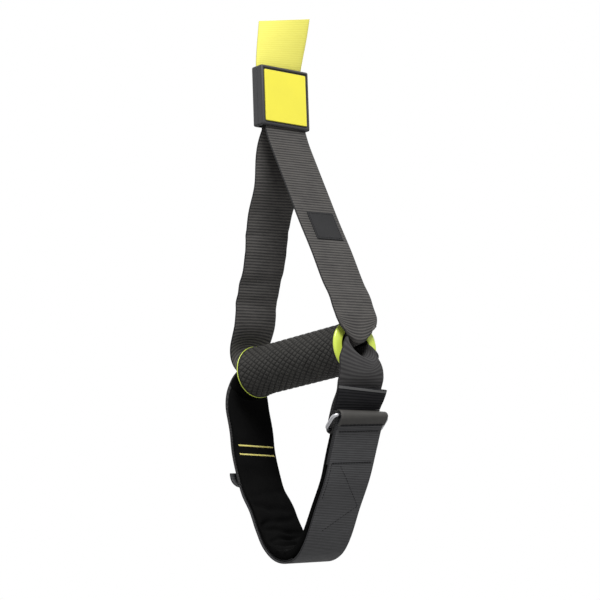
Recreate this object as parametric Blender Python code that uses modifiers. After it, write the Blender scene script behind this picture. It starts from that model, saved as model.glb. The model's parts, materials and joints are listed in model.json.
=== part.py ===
"""Suspension trainer handle: strap end, badge, webbing yoke, grip and foot cradle.

Metres, +Z up. The origin is the cut upper end of the main strap, where the handle
hangs. +X runs along the grip and +Y across the webbing.
"""
import math

import bmesh
import bpy
from mathutils import Matrix, Vector

# Driving dimensions
WEBBING_WIDTH = 0.038            # 1.5 inch webbing, used all over the trainer
YOKE_THICKNESS = 0.0016          # webbing of the yoke and of the cradle's hanger
STRAP_THICKNESS = 0.0014         # main strap and adjusting strap
GAP = 0.0003                     # between pieces that touch
STRAP_LENGTH = 0.0348            # main strap above the badge
STRAP_LEAN = 0.012               # how far its upper end stands off to the near side
STRAP_TWIST = math.radians(-30)
BADGE_HEIGHT = 0.045
BADGE_DEPTH = 0.012
HANDLE_RISE = 0.1712             # grip axis to the badge's lower face
GRIP_LENGTH = 0.1136             # over both flanges
BORE_RADIUS = 0.0124             # of the core tube, which the webbing goes through
TUBE_WALL = 0.0018
SLEEVE_THICKNESS = 0.0033
FLANGE_RADIUS = 0.0197
LOOP_OVERHANG = 0.0164           # grip's far end to the far side of the cradle
LOOP_DROP = 0.1439               # grip axis to the bottom of the cradle
PAD_THICKNESS = 0.0030
RING_WIRE_RADIUS = 0.0015
RING_SPAN = 0.0136               # between the centres of the ring's two long bars
OVERRUN = 0.002                  # how far cutters reach past what they cut

# Places that several pieces share
GRIP_X = -STRAP_LEAN
GRIP_Z = -(STRAP_LENGTH + BADGE_HEIGHT + HANDLE_RISE)
END_X = GRIP_LENGTH / 2
LOOP_REACH = END_X + LOOP_OVERHANG
LAYER = YOKE_THICKNESS + GAP
YOKE_CURL = BORE_RADIUS - GAP - YOKE_THICKNESS / 2
CURL_GAP = 0.0004
CRADLE_CURL = YOKE_CURL - YOKE_THICKNESS - CURL_GAP
UP = 1
DOWN = -1
RIBBON_FACES = 10                # across a ribbon that curls; a flat one has 2
FLAT_SHARE = 0.003               # of the bore's curl, below which a ribbon is flat

COLLECTION = "suspension_trainer"
CUTTERS = "cutters"


def clear_scene():
    for thing in list(bpy.data.objects):
        bpy.data.objects.remove(thing, do_unlink=True)


def collection(name):
    group = bpy.data.collections.new(name)
    bpy.context.scene.collection.children.link(group)
    return group


def material(name, color, roughness, metallic=0.0):
    finish = bpy.data.materials.new(name)
    finish.use_nodes = True
    shader = finish.node_tree.nodes["Principled BSDF"]
    shader.inputs["Base Color"].default_value = (*color, 1.0)
    shader.inputs["Roughness"].default_value = roughness
    shader.inputs["Metallic"].default_value = metallic
    return finish


def add(name, mesh, finish, parent):
    """Link a mesh under its joint's empty, in that empty's own frame."""
    thing = bpy.data.objects.new(name, mesh)
    parts.objects.link(thing)
    thing.parent = parent
    if finish:
        mesh.materials.append(finish)
    return thing


def empty(name, place, parent=None):
    thing = bpy.data.objects.new(name, None)
    parts.objects.link(thing)
    thing.location = place
    thing.parent = parent
    return thing


# Stations: a ribbon is a list of (x, z, yaw, curl) along its middle
def smooth(points, steps):
    """A smooth curve through the points, whose tangents allow for uneven spans."""
    path = []
    for i in range(len(points) - 1):
        a = points[max(i - 1, 0)]
        b = points[i]
        c = points[i + 1]
        d = points[min(i + 2, len(points) - 1)]
        span = math.dist(b[:2], c[:2])
        before = span / (math.dist(a[:2], b[:2]) + span)
        after = span / (span + math.dist(c[:2], d[:2]))
        for step in range(steps):
            t = step / steps
            path.append(tuple(
                q + (r - p) * before * t * (1 - t) ** 2 + (r - q) * t * t * (3 - 2 * t)
                - (s - q) * after * t * t * (1 - t)
                for p, q, r, s in zip(a, b, c, d)))
    path.append(tuple(points[-1]))
    return path


def heading(path, i):
    """Unit direction of travel at station i, in the XZ plane."""
    a = path[max(i - 1, 0)]
    b = path[min(i + 1, len(path) - 1)]
    return Vector((b[0] - a[0], b[1] - a[1])).normalized()


def shifted(path, distance):
    """The same ribbon, moved to the left of its direction of travel."""
    moved = []
    for i, (x, z, yaw, curl) in enumerate(path):
        way = heading(path, i)
        moved.append((x - way.y * distance, z + way.x * distance, yaw, curl))
    return moved


def cut(path, start, end):
    """The stretch of a path between two lengths along it, less any station close to a cut."""
    stretch = []
    travelled = 0
    for a, b in zip(path, path[1:]):
        step = math.dist(a[:2], b[:2])
        for mark in (start, end):
            if travelled <= mark < travelled + step:
                share = (mark - travelled) / step
                stretch.append(tuple(p + (q - p) * share for p, q in zip(a, b)))
        travelled += step
        if start + GAP < travelled < end - GAP:
            stretch.append(b)
    return stretch


def length_of(path):
    return sum(math.dist(a[:2], b[:2]) for a, b in zip(path, path[1:]))


def arc(centre, radius, first, last, yaw, steps):
    """Stations round a bar, between two angles in degrees from +X towards +Z."""
    stations = []
    for step in range(steps + 1):
        angle = math.radians(first + (last - first) * step / steps)
        stations.append((centre[0] + radius * math.cos(angle),
                         centre[1] + radius * math.sin(angle), yaw, 0))
    return stations


def across(station, side, bend):
    """The point at a distance to one side of a station's middle."""
    x, z, yaw, curl = station
    lateral, lift = side, 0
    if abs(curl) * YOKE_CURL > FLAT_SHARE:
        lateral = math.sin(side * curl) / curl
        lift = (1 - math.cos(side * curl)) / curl
    return Vector((x + lateral * math.sin(yaw), lateral * math.cos(yaw), z + lift * bend))


def ribbon(name, path, thickness, finish, parent, width=WEBBING_WIDTH, bend=UP,
           faces=RIBBON_FACES, middle=0):
    """Webbing of one width: a grid laid along the stations, then made solid."""
    shape = bmesh.new()
    bmesh.ops.create_grid(shape, x_segments=faces, y_segments=len(path) - 1, size=1)
    for corner in shape.verts:
        station = path[round((corner.co.y + 1) / 2 * (len(path) - 1))]
        corner.co = across(station, middle + corner.co.x * width / 2, bend)
    bmesh.ops.recalc_face_normals(shape, faces=shape.faces)
    mesh = bpy.data.meshes.new(name)
    shape.to_mesh(mesh)
    shape.free()
    mesh.shade_smooth()
    band = add(name, mesh, finish, parent)
    wall = band.modifiers.new("thickness", "SOLIDIFY")
    wall.thickness = thickness
    wall.offset = 0
    wall.use_even_offset = True
    return band


def turned(name, profile, finish, parent):
    """A piece turned about the grip's axis, from (x, radius) points round its section."""
    shape = bmesh.new()
    ring = [shape.verts.new((x, 0, radius)) for x, radius in profile]
    for i, corner in enumerate(ring):
        shape.edges.new((corner, ring[(i + 1) % len(ring)]))
    mesh = bpy.data.meshes.new(name)
    shape.to_mesh(mesh)
    shape.free()
    mesh.shade_smooth()
    piece = add(name, mesh, finish, parent)
    spin = piece.modifiers.new("turn", "SCREW")
    spin.axis = "X"
    spin.steps = TURN_STEPS
    spin.render_steps = TURN_STEPS
    spin.use_merge_vertices = True
    spin.merge_threshold = GAP / 30
    return piece


def wire(name, points, radius, finish, parent, closed=False, resolution=0):
    """A thread or a bent wire: a curve with a round section."""
    curve = bpy.data.curves.new(name, "CURVE")
    curve.dimensions = "3D"
    curve.bevel_depth = radius
    curve.bevel_resolution = resolution
    curve.use_fill_caps = not closed
    line = curve.splines.new("POLY")
    line.points.add(len(points) - 1)
    for spot, place in zip(line.points, points):
        spot.co = (*place, 1)
    line.use_cyclic_u = closed
    curve.materials.append(finish)
    thing = bpy.data.objects.new(name, curve)
    parts.objects.link(thing)
    thing.parent = parent
    return thing


def block(name, low, high, finish, parent, edge=0, segments=2):
    """A box between two corners, its edges rounded if an edge is given."""
    shape = bmesh.new()
    bmesh.ops.create_cube(shape, size=1)
    low = Vector(low)
    high = Vector(high)
    bmesh.ops.scale(shape, vec=high - low, verts=shape.verts)
    bmesh.ops.translate(shape, vec=(low + high) / 2, verts=shape.verts)
    mesh = bpy.data.meshes.new(name)
    shape.to_mesh(mesh)
    shape.free()
    box = add(name, mesh, finish, parent)
    if edge:
        rounding = box.modifiers.new("rounding", "BEVEL")
        rounding.width = edge
        rounding.segments = segments
        rounding.limit_method = "ANGLE"
    return box


def subtract(piece, cutter):
    """Cut one box away from a piece, and put the cutter with the others."""
    parts.objects.unlink(cutter)
    cutters.objects.link(cutter)
    cutter.hide_render = True
    cutter.display_type = "WIRE"
    hollow = piece.modifiers.new("cut", "BOOLEAN")
    hollow.operation = "DIFFERENCE"
    hollow.solver = "EXACT"
    hollow.object = cutter


clear_scene()
parts = collection(COLLECTION)
cutters = collection(CUTTERS)

charcoal_webbing = material("charcoal_webbing", (0.085, 0.082, 0.078), 0.8)
strap_webbing = material("strap_webbing", (0.052, 0.052, 0.056), 0.75)
yellow_webbing = material("yellow_webbing", (0.90, 0.85, 0.22), 0.7)
black_fleece = material("black_fleece", (0.006, 0.006, 0.006), 0.95)
black_plastic = material("black_plastic", (0.055, 0.055, 0.06), 0.45)
yellow_plastic = material("yellow_plastic", (0.90, 0.83, 0.08), 0.35)
lime_plastic = material("lime_plastic", (0.50, 0.68, 0.04), 0.3)
rubber = material("rubber", (0.035, 0.035, 0.032), 0.7)
aluminium = material("aluminium", (0.75, 0.75, 0.76), 0.35, 1.0)
steel = material("steel", (0.62, 0.62, 0.63), 0.25, 1.0)
black_thread = material("black_thread", (0.02, 0.02, 0.02), 0.8)
yellow_thread = material("yellow_thread", (0.80, 0.66, 0.10), 0.7)
hook_tape = material("hook_tape", (0.03, 0.03, 0.03), 0.9)
label_cloth = material("label_cloth", (0.03, 0.03, 0.03), 0.6)

# Joint frames. Everything below the main strap is measured from the grip's centre.
grip_frame = empty("grip_frame", (GRIP_X, 0, GRIP_Z))

# Main strap: flat webbing that twists towards the user as it climbs, cut square at the top
STRAP_STEPS = 12


def main_strap():
    shape = bmesh.new()
    bmesh.ops.create_grid(shape, x_segments=RIBBON_FACES // 2, y_segments=STRAP_STEPS, size=1)
    length = STRAP_LENGTH - GAP + OVERRUN
    for corner in shape.verts:
        z = OVERRUN - length * (1 - corner.co.y) / 2
        rise = min(1 + z / STRAP_LENGTH, 1)
        ease = rise * rise * (3 - 2 * rise)
        side = corner.co.x * WEBBING_WIDTH / 2
        corner.co = (STRAP_LEAN * (ease - 1) - side * math.sin(STRAP_TWIST * ease),
                     side * math.cos(STRAP_TWIST * ease), z)
    bmesh.ops.recalc_face_normals(shape, faces=shape.faces)
    mesh = bpy.data.meshes.new("main_strap")
    shape.to_mesh(mesh)
    shape.free()
    mesh.shade_smooth()
    strap = add("main_strap", mesh, yellow_webbing, None)
    wall = strap.modifiers.new("thickness", "SOLIDIFY")
    wall.thickness = STRAP_THICKNESS
    wall.offset = 0
    reach = WEBBING_WIDTH
    subtract(strap, block("strap_cut", (-reach, -reach, 0), (reach, reach, OVERRUN * 2),
                          None, None))


main_strap()

# Badge: two plastic half shells clamped round the sewn joint, with a plate let into the front
BADGE_MARGIN = 0.0032            # outer wall beside the webbing's edge, with its clearance
BADGE_CLEARANCE = 0.0006         # between the webbing's edge and the wall
BADGE_LIP = 0.0018               # upper and lower walls
BADGE_ROUNDING = 0.0012
CAVITY_DEPTH = 0.0039            # from the middle to each shell's inner face
SLOT_DEPTH = 0.0034              # half the mouth that the webbing leaves by
PLATE_SIZE = 0.0383
PLATE_THICKNESS = 0.0009
PLATE_ROUNDING = 0.0004
badge_low = HANDLE_RISE
badge_high = HANDLE_RISE + BADGE_HEIGHT
badge_half = WEBBING_WIDTH / 2 + BADGE_MARGIN
cavity_half = WEBBING_WIDTH / 2 + BADGE_CLEARANCE
badge_middle = (badge_low + badge_high) / 2


def badge_shell(name, side):
    """One half shell; side is +1 for the front and -1 for the rear."""
    def span(a, b):
        return (a, b) if side > 0 else (-b, -a)
    near, far = span(GAP / 2, BADGE_DEPTH / 2)
    shell = block(name, (near, -badge_half, badge_low), (far, badge_half, badge_high),
                  black_plastic, grip_frame, BADGE_ROUNDING)
    near, far = span(-OVERRUN, CAVITY_DEPTH)
    subtract(shell, block(name + "_cavity",
                          (near, -cavity_half, badge_low + BADGE_LIP),
                          (far, cavity_half, badge_high - BADGE_LIP), None, grip_frame))
    near, far = span(-OVERRUN, SLOT_DEPTH)
    subtract(shell, block(name + "_mouths",
                          (near, -cavity_half, badge_low - OVERRUN),
                          (far, cavity_half, badge_high + OVERRUN), None, grip_frame))
    return shell


front_shell = badge_shell("badge_front_shell", 1)
badge_shell("badge_rear_shell", -1)
recess_half = PLATE_SIZE / 2 + GAP
recess_floor = BADGE_DEPTH / 2 - PLATE_THICKNESS - GAP
subtract(front_shell, block("plate_recess",
                            (recess_floor, -recess_half, badge_middle - recess_half),
                            (BADGE_DEPTH / 2 + OVERRUN, recess_half,
                             badge_middle + recess_half), None, grip_frame))
block("badge_plate",
      (recess_floor + GAP, -PLATE_SIZE / 2, badge_middle - PLATE_SIZE / 2),
      (recess_floor + GAP + PLATE_THICKNESS, PLATE_SIZE / 2, badge_middle + PLATE_SIZE / 2),
      yellow_plastic, grip_frame, PLATE_ROUNDING, 1)

# Sewn end of the main strap, between the yoke's two ends inside the badge
PLY_STOP = 0.011                 # webbing's ends to the badge's upper face, inside it
SEWN_END_SHARE = 0.2             # how far up the badge the strap's own end stops
ply_x = STRAP_THICKNESS / 2 + GAP + YOKE_THICKNESS / 2
ply_top = badge_high - PLY_STOP
sewn_low = badge_low + BADGE_HEIGHT * SEWN_END_SHARE
block("strap_sewn_end",
      (-STRAP_THICKNESS / 2, -WEBBING_WIDTH / 2, sewn_low),
      (STRAP_THICKNESS / 2, WEBBING_WIDTH / 2, badge_high - GAP), yellow_webbing, grip_frame)

# Yoke: one webbing, down one leg, through the grip's bore and up the other leg
LEG_STANDOFF = 0.0028            # flange face to the webbing's middle
YOKE_NECK = 0.019                # length over which the curled webbing opens out flat
BULGE = 0.0055                   # slack of the far leg beside the grip
BULGE_RISE = 0.0089
LEG_STEPS = 2
leg_x = END_X + LEG_STANDOFF
neck_top = YOKE_CURL + YOKE_NECK
near_neck_shares = (              # (out, up, curl) from the bore to the flat leg
    (0.00, 0.00, 1.00), (0.55, 0.02, 0.98), (0.90, 0.07, 0.94), (1.00, 0.16, 0.87),
    (1.00, 0.33, 0.70), (0.98, 0.49, 0.50), (0.72, 0.67, 0.29), (0.30, 0.85, 0.11))
far_neck_shares = (
    (0.00, 0.00, 1.00), (0.40, 0.04, 0.98), (0.75, 0.20, 0.92), (1.00, 0.54, 0.80),
    (1.00, 0.98, 0.60))
near_leg_shares = (               # (out from the middle, up from the grip's axis)
    (0.924, 0.210), (0.831, 0.275), (0.677, 0.415), (0.497, 0.561), (0.331, 0.707),
    (0.172, 0.847), (0.075, 0.935))
far_leg_shares = (                # (out from the middle, up from the grip's axis, curl)
    (1.045, 0.143, 0.35), (0.962, 0.174, 0.15), (0.903, 0.203, 0.05), (0.857, 0.251, 0),
    (0.812, 0.312, 0), (0.725, 0.370, 0), (0.630, 0.430, 0), (0.530, 0.537, 0),
    (0.411, 0.654, 0), (0.222, 0.765, 0), (0.139, 0.882, 0), (0.098, 0.938, 0))


def leg(neck, side):
    """One leg, whose sewn end stands upright in the badge."""
    mouth = (side * ply_x, badge_low - STRAP_THICKNESS, 0, 0)
    return smooth(neck + [mouth], LEG_STEPS) + [(side * ply_x, ply_top, 0, 0)]


def yoke_path():
    curl = 1 / YOKE_CURL
    near = [(END_X + out * LEG_STANDOFF, YOKE_CURL + up * YOKE_NECK, 0, opening * curl)
            for out, up, opening in near_neck_shares]
    near += [(out * leg_x, up * HANDLE_RISE, 0, 0) for out, up in near_leg_shares]
    far = [(-END_X - out * (LEG_STANDOFF + BULGE), YOKE_CURL + up * BULGE_RISE, 0,
            opening * curl) for out, up, opening in far_neck_shares]
    far += [(-out * leg_x, up * HANDLE_RISE, 0, opening * curl)
            for out, up, opening in far_leg_shares]
    return leg(far, -1), leg(near, 1)


far_yoke, near_yoke = yoke_path()
yoke_stations = far_yoke[::-1] + near_yoke
ribbon("yoke_webbing", yoke_stations, YOKE_THICKNESS, charcoal_webbing, grip_frame, bend=DOWN)

# Thread that holds the joint together, one zigzag on each face of it
THREAD_RADIUS = 0.0003
SEWN_ROWS = 5
SEWN_HEIGHT = 0.018
SEWN_WIDTH_SHARE = 0.8
sewn_middle = (sewn_low + ply_top) / 2
sewn_face = ply_x + YOKE_THICKNESS / 2 + GAP + THREAD_RADIUS


def sewn_thread(name, x):
    """Rows of thread to and fro across the webbing, in one run."""
    points = []
    for row in range(SEWN_ROWS):
        z = sewn_middle + SEWN_HEIGHT * (row / (SEWN_ROWS - 1) - 1 / 2)
        side = WEBBING_WIDTH * SEWN_WIDTH_SHARE / 2 * (1 if row % 2 else -1)
        points += [(x, -side, z), (x, side, z)]
    return wire(name, points, THREAD_RADIUS, black_thread, grip_frame)


sewn_thread("sewn_joint_thread_front", sewn_face)
sewn_thread("sewn_joint_thread_rear", -sewn_face)

# Woven label on the near leg, sewn along its edge
LABEL_WIDTH = 0.027
LABEL_HEIGHT = 0.0235
LABEL_THICKNESS = 0.0005
LABEL_OFFSET = 0.0045            # towards the webbing's far edge
LABEL_START = 0.080              # along the webbing from the bore's end
label_path = shifted(near_yoke, -(YOKE_THICKNESS / 2 + GAP + LABEL_THICKNESS / 2))
ribbon("woven_label", cut(label_path, LABEL_START, LABEL_START + LABEL_HEIGHT),
       LABEL_THICKNESS, label_cloth, grip_frame, LABEL_WIDTH, faces=2, middle=LABEL_OFFSET)

# Grip: core tube, rubber sleeve and two lime end flanges, which turn on the webbing together
TURN_STEPS = 40
FLANGE_WIDTH = 0.0020
FLANGE_LIP = 0.0012              # inward wall that caps the tube's end
LIP_ROUNDING = 0.0010
FLARE = 0.0014                   # how far the sleeve's ends stand up towards the flanges
FLARE_LENGTH = 0.012
LIP_ROUNDING_SHARE = 0.3
flange_rim_shares = (             # (along the flange, down from its rim)
    (0.00, 0.25), (0.20, 0.00), (0.60, 0.00), (0.85, 0.25), (1.00, 0.80))
grip_spin = empty("grip_spin", (0, 0, 0), grip_frame)
tube_radius = BORE_RADIUS + TUBE_WALL
tube_half = END_X - FLANGE_LIP - GAP
sleeve_inner = tube_radius + GAP
sleeve_outer = sleeve_inner + SLEEVE_THICKNESS
sleeve_half = END_X - FLANGE_WIDTH - GAP


def flange_profile(side):
    """Section of one flange, from its inner face round its rim to its mouth."""
    inner = END_X - FLANGE_WIDTH
    seat = END_X - FLANGE_LIP
    points = [(inner, sleeve_inner)]
    points += [(inner + FLANGE_WIDTH * along, FLANGE_RADIUS - FLANGE_WIDTH * down)
               for along, down in flange_rim_shares]
    points += [(END_X, BORE_RADIUS + LIP_ROUNDING),
               (END_X - LIP_ROUNDING * LIP_ROUNDING_SHARE,
                BORE_RADIUS + LIP_ROUNDING * LIP_ROUNDING_SHARE),
               (END_X - LIP_ROUNDING, BORE_RADIUS), (seat, BORE_RADIUS), (seat, sleeve_inner)]
    return [(side * x, radius) for x, radius in points][::-side]


turned("core_tube", [(tube_half, BORE_RADIUS), (tube_half, tube_radius),
                     (-tube_half, tube_radius), (-tube_half, BORE_RADIUS)],
       aluminium, grip_spin)
turned("grip_sleeve", [(sleeve_half, sleeve_inner), (sleeve_half, sleeve_outer + FLARE),
                       (sleeve_half - FLARE_LENGTH, sleeve_outer),
                       (-sleeve_half + FLARE_LENGTH, sleeve_outer),
                       (-sleeve_half, sleeve_outer + FLARE), (-sleeve_half, sleeve_inner)],
       rubber, grip_spin)
turned("flange_near", flange_profile(1), lime_plastic, grip_spin)
turned("flange_far", flange_profile(-1), lime_plastic, grip_spin)

# Cradle outline: the outer face of the foot loop, from the far side round to the ring
loop_shares = (                   # (x, z, yaw in degrees, curl)
    (-0.964, -0.103, 0, 0.56), (-0.989, -0.129, 0, 0.38), (-0.999, -0.156, 0, 0.17),
    (-1.000, -0.185, 0, 0.04), (-0.969, -0.292, 0, 0), (-0.963, -0.403, 0, 0),
    (-0.918, -0.521, 0, 0), (-0.858, -0.625, 0, 0), (-0.754, -0.716, 1, 0),
    (-0.678, -0.813, 2, 0), (-0.581, -0.907, 3, 0), (-0.423, -0.977, 4, 0),
    (-0.219, -1.000, 6, 0), (-0.041, -0.975, 8, 0), (0.109, -0.903, 8, 0),
    (0.288, -0.768, 7, 0), (0.474, -0.632, 7, 0), (0.615, -0.493, 8, 0), (0.705, -0.404, 8, 0))
LOOP_STEPS = 2
outline = smooth([(x * LOOP_REACH, z * LOOP_DROP, math.radians(yaw), opening / CRADLE_CURL)
                  for x, z, yaw, opening in loop_shares], LOOP_STEPS)
outline_length = length_of(outline)
loop_end = Vector(outline[-1][:2])
loop_way = heading(outline, len(outline) - 1)
ring_yaw = outline[-1][2]
ring_across = Vector((math.sin(ring_yaw), math.cos(ring_yaw), 0))

# Ring: bent wire whose outer bar carries the strap and whose inner bar hangs in the hanger
RING_TILT = math.radians(35)
RING_CORNER = 0.003
RING_SIDE_GAP = 0.0014
ROLL_RISE = 0.0106               # strap's last station to the outer bar, along the strap
ROLL_CLEARANCE = 0.0013          # room for the ring to rock in the strap's fold
WRAP_CLEARANCE = 0.00045
RING_SIDES = 5                   # points round each bent corner
strap_half = STRAP_THICKNESS / 2
outer_bar = loop_end + loop_way * ROLL_RISE + Vector((-loop_way.y, loop_way.x)) * strap_half
inner_bar = outer_bar - Vector((math.cos(RING_TILT), math.sin(RING_TILT))) * RING_SPAN
cradle_swing = empty("cradle_swing", (0, 0, 0), grip_frame)
ring_rock = empty("ring_rock", (inner_bar.x, 0, inner_bar.y), cradle_swing)


def ring_points():
    """Rectangle with bent corners, in the plane of both bars, from the inner bar's middle."""
    slope = Vector((math.cos(RING_TILT), 0, math.sin(RING_TILT)))
    skew = slope.dot(ring_across)
    slope = (slope - ring_across * skew).normalized()
    centring = ring_across * (RING_SPAN * skew / 2)
    half = WEBBING_WIDTH / 2 + RING_SIDE_GAP + RING_WIRE_RADIUS
    corners = ((half - RING_CORNER, RING_SPAN - RING_CORNER, 0),
               (-half + RING_CORNER, RING_SPAN - RING_CORNER, 90),
               (-half + RING_CORNER, RING_CORNER, 180), (half - RING_CORNER, RING_CORNER, 270))
    points = []
    for side, up, start in corners:
        for step in range(RING_SIDES):
            angle = math.radians(start + 90 * step / (RING_SIDES - 1))
            points.append(ring_across * (side + RING_CORNER * math.cos(angle)) + centring
                          + slope * (up + RING_CORNER * math.sin(angle)))
    return points


wire("slide_ring", ring_points(), RING_WIRE_RADIUS, steel, ring_rock, closed=True, resolution=1)

# Adjusting strap: up the near side of the loop, round the ring's outer bar and down again
STRAP_START = 0.072              # along the outline, where the strap's tail leaves the loop
FOLD_LENGTH = 0.026              # of the strap's inner ply below the ring
ROLL_STEPS = 10
ROLL_START = -98                 # degrees round the bar, from the strap's direction
ROLL_STOP = 122
roll_radius = RING_WIRE_RADIUS + ROLL_CLEARANCE + strap_half
inner_ply = strap_half + STRAP_THICKNESS + GAP
way_angle = math.degrees(math.atan2(loop_way.y, loop_way.x))


def adjust_strap_path():
    outer = shifted(cut(outline, STRAP_START, outline_length - GAP), strap_half)
    inner = shifted(cut(outline, outline_length - FOLD_LENGTH, outline_length - GAP), inner_ply)
    roll = arc(outer_bar, roll_radius, way_angle + ROLL_START, way_angle + ROLL_STOP, ring_yaw, ROLL_STEPS)
    return outer + roll + inner[::-1]


strap_path = adjust_strap_path()
ribbon("adjust_strap", strap_path, STRAP_THICKNESS, strap_webbing, cradle_swing,
       faces=2)

# Hanger: one webbing from the pad's far side through the bore, down to the ring and back up
CRADLE_STANDOFF = 0.0019         # clear of the yoke, so that the cradle can swing past it
CRADLE_NECK = 0.0175
PAD_OVERLAP = 0.0680             # hanger sewn down the back of the pad, along the outline
HANGER_DROP = 0.0250             # grip axis to where the near hanger is flat
HANGER_LEAN = 0.0040             # how far it has come back in by then
HANGER_SAG = 0.0010
hanger_shares = ((0.78, 0.6, 0.4), (0.52, 0.9, 1.0), (0.26, 1.0, 0.7))  # (up, yaw, sag)
HANGER_TOP_YAW_SHARE = 0.3        # of the ring's yaw, where the near hanger is flat
WRAP_STEPS = 10
WRAP_START = 90                   # degrees round the inner bar, from the hanger's direction
WRAP_STOP = 268
yoke_outer_x = leg_x + YOKE_THICKNESS / 2
hanger_x = yoke_outer_x + CRADLE_STANDOFF + YOKE_THICKNESS / 2
near_mouth_shares = (             # (out, down, curl)
    (0.00, 0.00, 1.00), (0.60, 0.00, 1.00), (0.85, 0.03, 0.97), (0.97, 0.10, 0.88),
    (1.00, 0.20, 0.74), (1.00, 0.33, 0.55), (0.97, 0.47, 0.36), (0.84, 0.63, 0.18),
    (0.60, 0.79, 0.05))
far_mouth_shares = (              # (out, down, curl)
    (0.000, 0.00, 1.00), (0.450, 0.00, 1.00), (0.700, 0.18, 0.93), (0.880, 0.52, 0.76))
wrap_radius = RING_WIRE_RADIUS + WRAP_CLEARANCE + YOKE_THICKNESS / 2
far_hanger = shifted(cut(outline, 0, PAD_OVERLAP), YOKE_THICKNESS / 2)
far_reach = -far_hanger[0][0] - END_X
far_drop = -far_hanger[0][1] - CRADLE_CURL


def hanger_frame():
    """Direction up the near hanger and its outward normal."""
    top = Vector((hanger_x - HANGER_LEAN, -HANGER_DROP))
    run = top - inner_bar
    lean = math.asin(wrap_radius / run.length)
    way = Matrix.Rotation(-lean, 2) @ run.normalized()
    return top, way, Vector((way.y, -way.x))


hanger_top, hanger_way, hanger_out = hanger_frame()


def by_ring(along, out, yaw=None):
    """A station measured from the ring's inner bar, up the hanger and outwards."""
    place = inner_bar + hanger_way * along + hanger_out * out
    return (place.x, place.y, ring_yaw if yaw is None else yaw, 0)


def near_hanger():
    """Out of the bore, opening flat, then down to the ring."""
    path = [(END_X + out * (hanger_x - END_X), -CRADLE_CURL - down * CRADLE_NECK, 0,
             opening / CRADLE_CURL) for out, down, opening in near_mouth_shares]
    run = (hanger_top - inner_bar).length
    path.append((hanger_top.x, hanger_top.y, ring_yaw * HANGER_TOP_YAW_SHARE, 0))
    for along, turn, sag in hanger_shares:
        path.append(by_ring(run * along, -wrap_radius - HANGER_SAG * sag, ring_yaw * turn))
    return smooth(path, LEG_STEPS)


def cradle_path():
    far = [(-END_X - out * far_reach, -CRADLE_CURL - down * far_drop, 0,
            opening / CRADLE_CURL) for out, down, opening in far_mouth_shares]
    angle = math.degrees(math.atan2(hanger_way.y, hanger_way.x))
    wrap = arc(inner_bar, wrap_radius, angle + WRAP_START, angle + WRAP_STOP, ring_yaw, WRAP_STEPS)
    mouth = smooth(far + [far_hanger[0]], LEG_STEPS)[:-1]
    return far_hanger[::-1] + mouth[::-1] + near_hanger() + wrap + pull_tab_path()[0]


# Pull tab: the hanger's free end, folded back up over its hook tape
TAB_LENGTH = 0.0318               # ring's inner bar to the tab's cut end
TAB_STANDOFF = 0.0024             # of the tab's ply beside the inner bar
TAB_HINGE_SHARE = 0.47            # where it lifts off, along its length
tab_lower_shares = ((0.10, 0.80), (0.20, 0.35), (0.36, -0.08))
tab_upper_shares = ((0.56, 0.06), (0.70, 0.35), (0.88, 0.54), (1.00, 0.52))


def pull_tab_path():
    """The sewn stretch that stays with the hanger, and the stretch that lifts."""
    lower = [by_ring(TAB_LENGTH * a, TAB_STANDOFF * o) for a, o in tab_lower_shares]
    middle = by_ring(TAB_LENGTH * TAB_HINGE_SHARE, 0)
    upper = [by_ring(TAB_LENGTH * a, TAB_STANDOFF * o) for a, o in tab_upper_shares]
    lower = smooth(lower + [middle], LEG_STEPS)
    upper = smooth([middle] + upper, LEG_STEPS)
    return cut(lower, 0, length_of(lower) - GAP), cut(upper, GAP, length_of(upper))


ribbon("cradle_webbing", cradle_path(), YOKE_THICKNESS, charcoal_webbing, cradle_swing)

tab_hinge = by_ring(TAB_LENGTH * TAB_HINGE_SHARE, YOKE_THICKNESS / 2)
tab_peel = empty("tab_peel", (tab_hinge[0], 0, tab_hinge[1]), cradle_swing)
tab_path = [(x - tab_hinge[0], z - tab_hinge[1], yaw, curl)
            for x, z, yaw, curl in pull_tab_path()[1]]
ribbon("pull_tab", tab_path, YOKE_THICKNESS, charcoal_webbing, tab_peel, faces=2)

# Hook tape on the hanger, which the pull tab presses on
TAPE_THICKNESS = 0.0009
TAPE_WIDTH = 0.036
TAB_TAPE_LENGTH = 0.012
TAB_TAPE_RISE = 0.002             # of its lower end above the hanger's lowest station
hanger_run = near_hanger()
tape_stop = length_of(hanger_run) - TAB_TAPE_RISE
ribbon("hanger_hook_tape",
       cut(shifted(hanger_run, (YOKE_THICKNESS + TAPE_THICKNESS) / 2 + GAP),
           tape_stop - TAB_TAPE_LENGTH, tape_stop),
       TAPE_THICKNESS, hook_tape, cradle_swing, TAPE_WIDTH, faces=2)

# Pad: fleece-faced foam inside the loop, from the grip's far end almost to the ring
PAD_START = 0.002
PAD_FACES = 4
PAD_STOP = 0.0062                 # short of the strap's last station
TAPE_COVER = 0.075                # length of hook tape behind the strap
BLEND = 0.012                     # length over which the layers behind the pad change


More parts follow.
